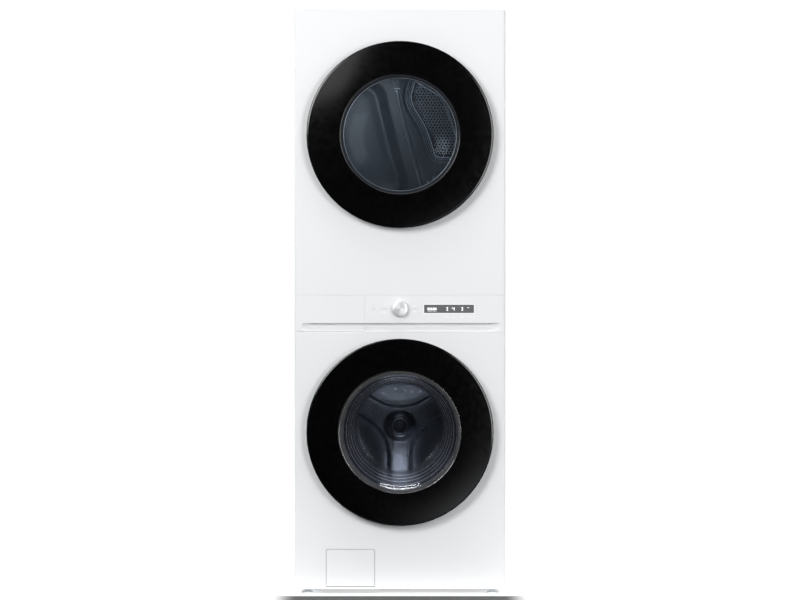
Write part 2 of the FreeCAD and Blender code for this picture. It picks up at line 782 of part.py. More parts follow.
def motor_stator():
    """Wound stator round the tub's hub."""
    yoke = tube(50, 78, hub_back_y - 30, hub_back_y - 4, 0, washer_z)
    tooth = block(-5, 5, hub_back_y - 30, hub_back_y - 4, washer_z + 76, washer_z + 124)
    return fuse([yoke] + around(tooth, 0, washer_z, 24))


def washer_drum_shell():
    """Stainless drum wall with its rolled mouth."""
    wall = 1.0
    profile = [(drum_mouth_r, drum_front_y + 6), (drum_mouth_r, drum_front_y), (drum_mouth_r + 6, drum_front_y - 4),
               (drum_r - 12, drum_front_y - 4), (drum_r + wall, drum_front_y + 8), (drum_r + wall, drum_back_y),
               (drum_r, drum_back_y), (drum_r, drum_front_y + 9), (drum_r - 13, drum_front_y - 3),
               (drum_mouth_r + 7, drum_front_y - 3), (drum_mouth_r + 1, drum_front_y + 1),
               (drum_mouth_r + 1, drum_front_y + 6)]
    return turned(profile, 0, washer_z)


def star_arm(half_root, half_tip, reach, y0, y1):
    """One arm of the star on the drum's back, pointing down."""
    outline = [(-half_root, washer_z), (-half_tip, washer_z - reach), (half_tip, washer_z - reach),
               (half_root, washer_z)]
    return plate(outline, y0, y1)


def washer_drum_back():
    """Drum end wall with three raised arms and a round boss."""
    wall = rod(drum_r, drum_back_y - 4, drum_back_y - 2.5, 0, washer_z)
    arms = around(star_arm(26, 34, 282, drum_back_y - 18, drum_back_y - 4), 0, washer_z, 3)
    boss = rod(48, drum_back_y - 24, drum_back_y - 4, 0, washer_z)
    pockets = around(star_arm(24, 32, 279, drum_back_y - 16.5, drum_back_y), 0, washer_z, 3)
    return fuse([wall, boss] + arms).cut(Part.makeCompound(pockets))


def drum_spider():
    """Cast three-arm spider behind the drum, with the drive shaft."""
    y0 = drum_back_y - 2.5
    arms = around(star_arm(22, 16, drum_r - 2, y0, y0 + 18), 0, washer_z, 3)
    hub = rod(44, y0, y0 + 22, 0, washer_z)
    shaft = rod(shaft_r, y0, hub_back_y + 18, 0, washer_z)
    return fuse(arms + [hub, shaft])


def washer_lifters():
    """Three hollow-ridged paddles on the drum wall."""
    root = drum_r - 0.2
    paddle = plate([(-26, washer_z + root - 6), (-9, washer_z + root - 52), (9, washer_z + root - 52),
                    (26, washer_z + root - 6), (26, washer_z + drum_r + 5), (-26, washer_z + drum_r + 5)],
                   drum_front_y + 30, drum_back_y - 30)
    paddle = paddle.common(rod(root, drum_front_y, drum_back_y, 0, washer_z))
    hollow = plate([(-22, washer_z + root - 5), (-7, washer_z + root - 48.5), (7, washer_z + root - 48.5),
                    (22, washer_z + root - 5), (22, washer_z + drum_r + 5), (-22, washer_z + drum_r + 5)],
                   drum_front_y + 33, drum_back_y - 33)
    return Part.makeCompound(around(paddle.cut(hollow), 0, washer_z, 3, 60))


def motor_rotor():
    """Rotor cup behind the tub, on the end of the drum's shaft."""
    y1 = hub_back_y + 14
    profile = [(shaft_r, y1 - 6), (30, y1 - 6), (30, y1 - 3), (134, y1 - 3), (134, hub_back_y - 34),
               (140, hub_back_y - 34), (140, y1), (shaft_r, y1)]
    cup = turned(profile, 0, washer_z)
    vent = rod(9, y1 - 10, y1 + 5, 0, washer_z + 85)
    return cup.cut(Part.makeCompound(around(vent, 0, washer_z, 10)))


def bellows_hose(x, y, z0, z1, r):
    """An upright corrugated hose."""
    wall = 2.5
    pitch = 10.0
    count = int((z1 - z0) // pitch)
    step = (z1 - z0) / count
    outer = [(r, z0)]
    for i in range(count):
        outer += [(r + 4, z0 + step * (i + 0.5)), (r, z0 + step * (i + 1))]
    inner = [(radius - wall, z) for radius, z in reversed(outer)]
    corners = [Vector(x + radius, y, z) for radius, z in outer + inner]
    face = Part.Face(Part.makePolygon(corners + corners[:1]))
    return face.revolve(Vector(x, y, 0), Vector(0, 0, 1), 360)


def sump_hose():
    tub_bottom = washer_z - tub_rise(abs(pump_x) - sump_stub_r - 4)
    return bellows_hose(pump_x, sump_y, pump_z + sump_stub_high, tub_bottom - 4, sump_stub_r - 2)


def dispenser_hose():
    tub_top = washer_z + tub_rise(abs(dispenser_x) - dispenser_r - 8)
    return bellows_hose(dispenser_x, dispenser_y, tub_top + 2, tray_z0 - 18.5, dispenser_r - 2)


# Dryer

def dryer_front_bulkhead():
    """Fixed wall that closes the drum's front, with the loading collar and the drum's front bearing ring."""
    wall = block(-inside_x + 0.5, inside_x - 0.5, bulkhead_y, bulkhead_y + 2, 1140, 1868)
    collar = rod(opening_r - 3.5, front_y + 12, bulkhead_y + 2, 0, dryer_z)
    ring = tube(286, 292, bulkhead_y + 2, dryer_drum_front_y - 2, 0, dryer_z)
    shape = fuse([wall, collar, ring]).cut(rod(opening_r - 5, front_y, bulkhead_y + 5, 0, dryer_z))
    slot = block(-113, 113, -338, -322, dryer_z - 220, dryer_z - 150)
    return shape.cut(slot)


def dryer_rear_bulkhead():
    """Fixed wall behind the drum, with the roller axles and the warm air opening."""
    wall = block(-inside_x + 0.5, inside_x - 0.5, rear_wall_y, rear_wall_y + 2, 1112, 1868)
    head_back = roller_front_y - 1
    axles = [rod(roller_axle_r, head_back, rear_wall_y, x, roller_z()) for x in (-roller_x, roller_x)]
    heads = [rod(roller_axle_r + 4, head_back - 4, head_back, x, roller_z()) for x in (-roller_x, roller_x)]
    shape = fuse([wall] + axles + heads)
    warm_air = Part.Face(grille_outline(8)).extrude(Vector(0, 20, 0))
    return shape.cut(warm_air)


def roller_z():
    reach = dryer_drum_r + 1 + roller_r + running_gap
    return dryer_z - math.sqrt(reach ** 2 - roller_x ** 2)


def grille_outline(inset):
    """The warm air opening's S-shaped outline, pulled in by inset."""
    y = grille_y

    def point(x, z):
        return Vector(x, y, z)

    top = point(52 + inset, 1700 - inset)
    side = Part.BSplineCurve()
    side.interpolate([top, point(41 + inset, 1632), point(88 + inset, 1543), point(114 + inset, 1470)])
    corner_start = point(114 + inset, 1470)
    corner_end = point(134 + inset, 1440 + inset)
    right_low = point(218 - inset, 1440 + inset)
    bow = Part.Arc(right_low, point(205 - inset, 1590), top).toShape()
    corner = Part.Arc(corner_start, point(119.5 + inset, 1450 + inset / 2), corner_end).toShape()
    return Part.Wire([side.toShape(), corner, Part.makeLine(corner_end, right_low), bow])


def dryer_vent_grille():
    """Perforated plate over the warm air opening."""
    face = Part.Face(grille_outline(0))
    hole_r = 3.9
    pitch = 11.0
    row_step = pitch * math.sqrt(3) / 2
    safe = Part.Face(grille_outline(9))
    holes = []
    for row in range(30):
        for column in range(20):
            x = 36 + pitch * (column + 0.5 * (row % 2))
            z = 1446 + row_step * row
            if safe.isInside(Vector(x, grille_y, z), 0.01, True):
                holes.append(Part.Wire([Part.makeCircle(hole_r, Vector(x, grille_y, z), Vector(0, 1, 0))]))
    cut_out = Part.makeCompound([Part.Face(hole) for hole in holes])
    return face.cut(cut_out).extrude(Vector(0, grille_thick, 0))


def heater_duct():
    """Sheet duct behind the rear wall, open at the bottom, with the heating rod inside."""
    y0 = rear_wall_y + 2
    y1 = back_y - sheet - 5
    wall = 1.5
    x0 = 20.0
    x1 = 290.0
    z0 = 1120.0
    z1 = 1715.0
    outer = block(x0, x1, y0, y1, z0, z1)
    shell = outer.cut(block(x0 + wall, x1 - wall, y0 - 1, y1 - wall, z0 - 10, z1 - wall))
    return Part.makeCompound([shell, heating_rod()])


def heating_rod():
    """Zig-zag heating rod on its end bar."""
    thick = 6.0
    passes = 5
    pitch = 30.0
    left = 50.0
    right = 260.0
    low = 1140.0
    y0 = rear_wall_y + 16
    y1 = y0 + thick
    bars = []
    for i in range(passes):
        z = low + pitch * i
        bars.append(block(left, right, y0, y1, z, z + thick))
        x = right - thick if i % 2 == 0 else left
        if i < passes - 1:
            bars.append(block(x, x + thick, y0, y1, z + thick, z + pitch))
    frame = block(left - thick, left, y0 - 2, y1 + 2, low - 10, low + passes * pitch - 10)
    return fuse(bars + [frame])


def dryer_drum_shell():
    wall = 1.0
    r = dryer_drum_r
    profile = [(300, dryer_drum_front_y), (r - 6, dryer_drum_front_y), (r + wall, dryer_drum_front_y + 7),
               (r + wall, dryer_drum_back_y), (r, dryer_drum_back_y), (r, dryer_drum_front_y + 8),
               (r - 7, dryer_drum_front_y + 1), (300, dryer_drum_front_y + 1)]
    return turned(profile, 0, dryer_z)


def dryer_lifters():
    root = dryer_drum_r - 0.2
    vane = plate([(-30, dryer_z + root - 8), (-7, dryer_z + root - 70), (7, dryer_z + root - 70),
                  (30, dryer_z + root - 8), (30, dryer_z + root + 6), (-30, dryer_z + root + 6)],
                 dryer_drum_front_y + 40, dryer_drum_back_y - 25)
    vane = vane.common(rod(root, dryer_drum_front_y, dryer_drum_back_y, 0, dryer_z))
    hollow = plate([(-26, dryer_z + root - 6), (-4.5, dryer_z + root - 67), (4.5, dryer_z + root - 67),
                    (26, dryer_z + root - 6), (26, dryer_z + root + 6), (-26, dryer_z + root + 6)],
                   dryer_drum_front_y + 43, dryer_drum_back_y - 28)
    return Part.makeCompound(around(vane.cut(hollow), 0, dryer_z, 3, 14))


def drum_roller(x):
    return tube(roller_axle_r + pin_clearance, roller_r, roller_front_y, roller_back_y, x, roller_z())


def belt_wire(grow):
    """The belt's closed path round the drum, the idler and the motor pulley, grown outwards by grow."""
    circles = [
        (0.0, dryer_z, dryer_drum_r + 1 + grow),
        (motor_x, motor_z, pulley_r + grow),
        (idler_x, idler_z, idler_r + grow),
    ]
    touches = []
    for i, (x0, z0, r0) in enumerate(circles):
        x1, z1, r1 = circles[(i + 1) % len(circles)]
        heading = math.atan2(z1 - z0, x1 - x0)
        lean = math.acos((r0 - r1) / math.hypot(x1 - x0, z1 - z0))
        side = heading + lean
        touches.append((
            Vector(x0 + r0 * math.cos(side), belt_front_y, z0 + r0 * math.sin(side)),
            Vector(x1 + r1 * math.cos(side), belt_front_y, z1 + r1 * math.sin(side)),
            side,
        ))
    edges = []
    for i, (x, z, r) in enumerate(circles):
        leave, arrive, side = touches[i]
        came_side = touches[i - 1][2]
        turn = (came_side - side) % (2 * math.pi)
        middle = came_side - turn / 2
        bend = Vector(x + r * math.cos(middle), belt_front_y, z + r * math.sin(middle))
        edges.append(Part.Arc(touches[i - 1][1], bend, leave).toShape())
        edges.append(Part.makeLine(leave, arrive))
    return Part.Wire(edges)


def drive_belt():
    outer = Part.Face(belt_wire(running_gap + belt_thick))
    inner = Part.Face(belt_wire(running_gap))
    return outer.cut(inner).extrude(Vector(0, belt_back_y - belt_front_y, 0))


def dryer_motor_body():
    can = rod(motor_r, motor_front_y, motor_back_y, motor_x, motor_z)
    can = can.cut(rod(motor_r - 12, motor_front_y + 8, motor_back_y - 8, motor_x, motor_z))
    return can.cut(rod(motor_shaft_r + pin_clearance, motor_front_y - 1, motor_back_y + 1, motor_x, motor_z))


def dryer_motor_shaft():
    """Motor shaft with its armature inside the motor and the belt pulley in front."""
    shaft = rod(motor_shaft_r, blower_front_y + 8, motor_back_y + 6, motor_x, motor_z)
    armature = rod(50, motor_front_y + 25, motor_back_y - 25, motor_x, motor_z)
    pulley = rod(pulley_r, belt_front_y - 4, belt_back_y + 4, motor_x, motor_z)
    rims = [rod(pulley_r + 4, y, y + 2, motor_x, motor_z) for y in (belt_front_y - 4, belt_back_y + 2)]
    return fuse([shaft, armature, pulley] + rims)


def blower_wheel():
    y0 = blower_front_y + 10
    y1 = blower_back_y - 8
    back = tube(motor_shaft_r, blower_r, y1 - 2, y1, motor_x, motor_z)
    hub = tube(motor_shaft_r, 14, y1 - 40, y1 - 1, motor_x, motor_z)
    ring = tube(blower_r - 8, blower_r, y0, y0 + 2, motor_x, motor_z)
    vane = block(motor_x - 1, motor_x + 1, y0 + 1, y1 - 1, motor_z + blower_r - 14, motor_z + blower_r - 1)
    return fuse([back, hub, ring] + around(vane, motor_x, motor_z, 24))


def blower_housing():
    """The blower's scroll, in one moulding with the chute that leads to it."""
    wall = chute_sheet
    outer = fuse([
        rod(scroll_r, blower_front_y, blower_back_y, motor_x, motor_z),
        block(scroll_left, motor_x, blower_front_y, blower_back_y, motor_z - scroll_r, scroll_top),
    ])
    inner = fuse([
        rod(scroll_r - wall, blower_front_y + wall, blower_back_y - wall, motor_x, motor_z),
        block(scroll_left + wall, motor_x, blower_front_y + wall, blower_back_y - wall,
              motor_z - scroll_r + wall, scroll_top - wall),
    ])
    shell = outer.cut(inner)
    shell = shell.cut(rod(blower_mouth_r, blower_front_y - 1, blower_front_y + 5, motor_x, motor_z))
    shell = shell.cut(rod(10, blower_back_y - 5, blower_back_y + 1, motor_x, motor_z))
    shell = shell.cut(rod(exhaust_r - 1, blower_back_y - 5, blower_back_y + 1, 0, exhaust_z))
    return fuse([shell, lint_chute()])


def exhaust_duct():
    """Straight duct from the blower, with the collar for the room's duct behind the rear panel."""
    duct = rod(exhaust_r - 1, blower_back_y - 2, back_y, 0, exhaust_z)
    collar = rod(exhaust_r, back_y, depth / 2, 0, exhaust_z)
    return fuse([duct, collar]).cut(rod(exhaust_r - 1.8, blower_back_y - 3, depth / 2 + 1, 0, exhaust_z))


def lint_chute():
    """The chute that holds the lint filter, and the box that leads from it to the blower."""
    wall = chute_sheet
    x0 = -chute_half + wall
    x1 = chute_half - wall
    upper = block(-chute_half, chute_half, chute_front_y, chute_back_y, chute_low, chute_high)
    lower = block(-chute_half, box_right, chute_back_y, blower_front_y, box_low, box_high)
    shell = fuse([upper, lower])
    shell = shell.cut(block(x0, x1, chute_front_y + wall, chute_back_y - wall, chute_low + wall, chute_high + wall))
    shell = shell.cut(block(x0, box_right - wall, chute_back_y + wall, blower_front_y - wall,
                            box_low + wall, box_high - wall))
    passage = block(-chute_half + 10, chute_half - 10, chute_back_y - 4, chute_back_y + 4,
                    chute_low + 5, box_high - 20)
    mouth = rod(blower_mouth_r, blower_front_y - 5, blower_front_y + 1, motor_x, motor_z)
    return shell.cut(passage).cut(mouth)


def lint_filter():
    """Lint screen in its frame, with a cap that closes the slot in the loading collar."""
    frame = block(-109, 109, -336, -324, 1118, 1262)
    frame = frame.cut(block(-101, 101, -340, -320, 1126, 1254))
    screen = block(-102, 102, -331, -329, 1125, 1255)
    cap_r = opening_r - 5.4
    cap = block(-112, 112, -337, -323, dryer_z - 215, dryer_z - 150)
    cap = cap.common(tube(cap_r - 3, cap_r, -337, -323, 0, dryer_z))
    web = block(-105, 105, -333, -327, 1260, 1330).cut(rod(cap_r - 1, -340, -320, 0, dryer_z))
    return fuse([frame, screen, web, cap])


def idler_pulley():
    return tube(idler_axle_r + pin_clearance, idler_r, belt_front_y - 4, belt_back_y + 4, idler_x, idler_z)


# Controls and drawer

def selector_knob():
    """Round selector with a slightly coned face and its shaft."""
    back = front_y - 1.5
    profile = [(0, back - 17), (18, back - 16.2), (knob_r - 2.5, back - 15.2), (knob_r - 0.8, back - 14),
               (knob_r, back - 12), (knob_r, back), (0, back)]
    head = turned(profile, 0, knob_z)
    shaft = rod(knob_shaft_r, back, front_y + 12.5, 0, knob_z)
    return fuse([head, shaft])


def drawer_front():
    return front_moulding(-panel_half, drawer_edge_x - seam / 2, drawer_bottom, control_top)


def drawer_tray():
    """Detergent tray with three compartments, and the softener cover that drops into one of them."""
    y0 = moulding_back_y
    tray = block(tray_x0, tray_x1, y0, tray_back_y, tray_z0, tray_z1)
    rows = [(tray_x0 + tray_wall, tray_split_x, y0 + 4, tray_back_y - 4),
            (tray_split_x + 3, tray_x1 - tray_wall, y0 + 4, tray_split_y),
            (tray_split_x + 3, tray_x1 - tray_wall, tray_split_y + 3, tray_back_y - 4)]
    for x0, x1, front, back in rows:
        tray = tray.cut(block(x0, x1, front, back, tray_z0 + 3, tray_z1 + 1))
    return Part.makeCompound([tray, softener_cover()])


def softener_cover():
    """Cover with a siphon over the rear right-hand compartment."""
    x0 = tray_split_x + 3
    x1 = tray_x1 - tray_wall
    y0 = tray_split_y + 3
    y1 = tray_back_y - 4
    lid_z = tray_z1 - 14
    lid = block(x0, x1, y0, y1, lid_z, lid_z + 2)
    skirt = block(x0 + 15, x1 - 15.5, y0 + 16, y1 - 16, lid_z - 16, lid_z)
    skirt = skirt.cut(block(x0 + 17, x1 - 17.5, y0 + 18, y1 - 18, lid_z - 17, lid_z))
    siphon = upright_tube(5, 8, lid_z - 46, lid_z, -181, -133)
    return fuse([lid, skirt, siphon])


def build():
    parts["side_panels"] = Part.makeCompound([mirrored(side_panel()), side_panel()])
    parts["top_panel"] = top_panel()
    parts["rear_panel"] = rear_panel()
    parts["base_frame"] = base_frame()
    parts["levelling_feet"] = Part.makeCompound([levelling_foot(x, y) for x, y in foot_places()])
    parts["deck_plate"] = deck_plate()
    parts["washer_front_panel"] = washer_front_panel()
    parts["dryer_front_panel"] = dryer_front_panel()
    parts["cabinet_screws"] = cabinet_screws()
    parts["terminal_cover"] = terminal_cover()
    parts["water_connections"] = Part.makeCompound([water_inlets(), drain_outlet()])
    parts["hinge_brackets"] = Part.makeCompound([hinge_bracket(washer_z), hinge_bracket(dryer_z)])
    parts["hinge_pins"] = Part.makeCompound([hinge_pin(washer_z), hinge_pin(dryer_z)])
    parts["door_locks"] = Part.makeCompound([door_lock(washer_z), door_lock(dryer_z)])

    parts["control_panel"] = control_panel()
    parts["display_lens"] = display_lens()
    parts["control_board"] = control_board()
    parts["selector_knob"] = selector_knob()
    parts["drawer_housing"] = drawer_housing()
    parts["drawer_front"] = drawer_front()
    parts["drawer_tray"] = drawer_tray()
    parts["drain_pump"] = drain_pump()
    parts["pump_filter_cap"] = pump_filter_cap()
    parts["drain_cover"] = drain_cover()

    parts["washer_door_ring"] = door_ring(washer_z, washer_window_r)
    parts["washer_door_frame"] = door_frame(washer_z, frame_bore_r)
    parts["washer_door_bowl"] = washer_door_bowl()
    parts["dryer_door_ring"] = door_ring(dryer_z, dryer_window_r)
    parts["dryer_door_frame"] = door_frame(dryer_z, frame_bore_r)
    parts["dryer_door_panes"] = dryer_door_panes()

    parts["door_gasket"] = door_gasket()
    parts["tub_front"] = tub_front()
    parts["tub_rear"] = tub_rear()
    parts["tub_hoses"] = Part.makeCompound([dispenser_hose(), sump_hose()])
    parts["suspension_springs"] = suspension_springs()
    parts["dampers"] = dampers()
    parts["counterweights"] = counterweights()
    parts["drum_bearings"] = drum_bearings()
    parts["motor_stator"] = motor_stator()
    parts["motor_rotor"] = motor_rotor()
    parts["washer_drum_shell"] = washer_drum_shell()
    parts["washer_drum_back"] = washer_drum_back()
    parts["drum_spider"] = drum_spider()
    parts["washer_lifters"] = washer_lifters()

    parts["dryer_front_bulkhead"] = dryer_front_bulkhead()
    parts["dryer_rear_bulkhead"] = dryer_rear_bulkhead()
    parts["dryer_vent_grille"] = dryer_vent_grille()
    parts["heater_duct"] = heater_duct()
    parts["dryer_drum_shell"] = dryer_drum_shell()
    parts["dryer_lifters"] = dryer_lifters()
    parts["drum_roller_left"] = drum_roller(-roller_x)
    parts["drum_roller_right"] = drum_roller(roller_x)
    parts["drive_belt"] = drive_belt()
    parts["idler_pulley"] = idler_pulley()
    parts["dryer_motor"] = dryer_motor_body()
    parts["motor_shaft"] = dryer_motor_shaft()
    parts["blower_wheel"] = blower_wheel()
    parts["blower_housing"] = blower_housing()
    parts["exhaust_duct"] = exhaust_duct()
    parts["lint_filter"] = lint_filter()


build()
os.makedirs("parts", exist_ok=True)
for node, shape in parts.items():
    shape.exportStep("parts/" + node + ".step")
print(len(parts), "nodes")
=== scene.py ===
import json
import math

import bmesh
import bpy
import numpy as np
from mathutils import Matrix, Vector


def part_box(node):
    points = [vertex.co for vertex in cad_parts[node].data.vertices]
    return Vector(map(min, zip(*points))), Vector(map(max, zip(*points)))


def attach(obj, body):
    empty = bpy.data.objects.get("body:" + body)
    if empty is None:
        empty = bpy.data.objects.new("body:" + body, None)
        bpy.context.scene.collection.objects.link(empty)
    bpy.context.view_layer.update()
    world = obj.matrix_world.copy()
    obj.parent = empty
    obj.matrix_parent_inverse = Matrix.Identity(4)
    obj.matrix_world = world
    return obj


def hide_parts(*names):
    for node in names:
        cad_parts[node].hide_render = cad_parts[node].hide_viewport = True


# Stacked washer and dryer: finishes and fine pieces round the fixed frame.
# Metres, Z up, the doors face -Y.

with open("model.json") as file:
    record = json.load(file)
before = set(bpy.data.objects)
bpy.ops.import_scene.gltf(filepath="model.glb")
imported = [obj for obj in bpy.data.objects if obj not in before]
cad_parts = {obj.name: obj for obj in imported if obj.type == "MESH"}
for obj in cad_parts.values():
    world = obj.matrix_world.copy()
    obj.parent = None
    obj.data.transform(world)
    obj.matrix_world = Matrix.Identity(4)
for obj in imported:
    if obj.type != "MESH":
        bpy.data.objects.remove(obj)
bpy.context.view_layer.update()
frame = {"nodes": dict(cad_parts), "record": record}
nodes = frame["nodes"]
mm = 0.001
print("frame loaded:", len(nodes), "nodes")


# small helpers

def middleOf(node):
    low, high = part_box(node)
    return (low + high) / 2


def addPiece(name, verts, faces, material, body, smooth=True, sharpAngle=35):
    mesh = bpy.data.meshes.new(name)
    mesh.from_pydata([tuple(v) for v in verts], [], faces)
    mesh.validate()
    mesh.update()
    piece = bpy.data.objects.new(name, mesh)
    bpy.context.scene.collection.objects.link(piece)
    mesh.materials.append(material)
    if smooth:
        mesh.polygons.foreach_set("use_smooth", [True] * len(mesh.polygons))
        mesh.set_sharp_from_angle(angle=math.radians(sharpAngle))
    if body:
        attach(piece, body)
    return piece


def lathePoints(profile, centre, turns, rise=None):
    # rings of points about an axis along Y; rise(y) shifts a ring upwards
    points = []
    for r, y in profile:
        lift = rise(y) if rise else 0.0
        for i in range(turns):
            a = 2 * math.pi * i / turns
            points.append((centre.x + r * math.sin(a), y, centre.z + lift + r * math.cos(a)))
    return points


def lathe(name, profile, centre, material, body, turns=160, closed=True, rise=None, sharpAngle=35):
    verts = lathePoints(profile, centre, turns, rise)
    faces = []
    rows = len(profile)
    for j in range(rows if closed else rows - 1):
        k = (j + 1) % rows
        for i in range(turns):
            n = (i + 1) % turns
            faces.append((j * turns + i, j * turns + n, k * turns + n, k * turns + i))
    return addPiece(name, verts, faces, material, body, sharpAngle=sharpAngle)


def boxes(name, places, material, body, soften=0.0):
    # one piece made of several small blocks, each (x0, x1, y0, y1, z0, z1)
    bm = bmesh.new()
    for x0, x1, y0, y1, z0, z1 in places:
        made = bmesh.ops.create_cube(bm, size=1.0)
        for v in made["verts"]:
            v.co = Vector((
                x0 + (v.co.x + 0.5) * (x1 - x0),
                y0 + (v.co.y + 0.5) * (y1 - y0),
                z0 + (v.co.z + 0.5) * (z1 - z0),
            ))
    if soften:
        bmesh.ops.bevel(bm, geom=bm.edges[:], offset=soften, segments=2, affect="EDGES")
    mesh = bpy.data.meshes.new(name)
    bm.to_mesh(mesh)
    bm.free()
    piece = bpy.data.objects.new(name, mesh)
    bpy.context.scene.collection.objects.link(piece)
    mesh.materials.append(material)
    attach(piece, body)
    return piece


def smoothStep(low, high, value):
    t = np.clip((value - low) / (high - low), 0.0, 1.0)
    return t * t * (3 - 2 * t)


# finishes

def newFinish(name):
    mat = bpy.data.materials.new(name)
    mat.use_nodes = True
    return mat, mat.node_tree, mat.node_tree.nodes["Principled BSDF"]


def patternVector(tree, stretch=(1, 1, 1)):
    coords = tree.nodes.new("ShaderNodeTexCoord")
    mapping = tree.nodes.new("ShaderNodeMapping")
    mapping.inputs["Scale"].default_value = stretch
    tree.links.new(coords.outputs["Object"], mapping.inputs["Vector"])
    return mapping.outputs["Vector"]


def noiseOf(tree, vector, scale, detail=3.0, rough=0.5):
    noise = tree.nodes.new("ShaderNodeTexNoise")
    noise.inputs["Scale"].default_value = scale
    noise.inputs["Detail"].default_value = detail
    noise.inputs["Roughness"].default_value = rough
    tree.links.new(vector, noise.inputs["Vector"])
    return noise.outputs["Fac"]


def twoTones(tree, factor, toneA, toneB, low=0.3, high=0.7):
    ramp = tree.nodes.new("ShaderNodeValToRGB")
    ramp.color_ramp.elements[0].position = low
    ramp.color_ramp.elements[0].color = (*toneA, 1)
    ramp.color_ramp.elements[1].position = high
    ramp.color_ramp.elements[1].color = (*toneB, 1)
    tree.links.new(factor, ramp.inputs["Fac"])
    return ramp.outputs["Color"]


def spread(tree, factor, low, high, start=0.3, end=0.7, kind="LINEAR"):
    # a value between start and end, mapped to low and high
    span = tree.nodes.new("ShaderNodeMapRange")
    span.interpolation_type = kind
    span.inputs["From Min"].default_value = start
    span.inputs["From Max"].default_value = end
    span.inputs["To Min"].default_value = low
    span.inputs["To Max"].default_value = high
    tree.links.new(factor, span.inputs["Value"])
    return span.outputs["Result"]


def bumpOf(tree, height, strength, distance):
    bump = tree.nodes.new("ShaderNodeBump")
    bump.inputs["Strength"].default_value = strength
    bump.inputs["Distance"].default_value = distance
    tree.links.new(height, bump.inputs["Height"])
    return bump.outputs["Normal"]


def finish(name, s):
    mat, tree, shader = newFinish(name)
    vector = patternVector(tree, s.get("stretch", (1, 1, 1)))
    tone = noiseOf(tree, vector, s["toneScale"])
    fine = noiseOf(tree, vector, s["grainScale"], 2.0)
    tree.links.new(twoTones(tree, tone, s["tone"], s["toneB"]), shader.inputs["Base Color"])
    tree.links.new(spread(tree, fine, *s["rough"]), shader.inputs["Roughness"])
    tree.links.new(bumpOf(tree, fine, s["grain"], s.get("grainDepth", 0.0002)), shader.inputs["Normal"])
    shader.inputs["Metallic"].default_value = s.get("metal", 0.0)
    shader.inputs["Coat Weight"].default_value = s.get("coat", 0.0)
    shader.inputs["Coat Roughness"].default_value = s.get("coatRough", 0.05)
    return mat


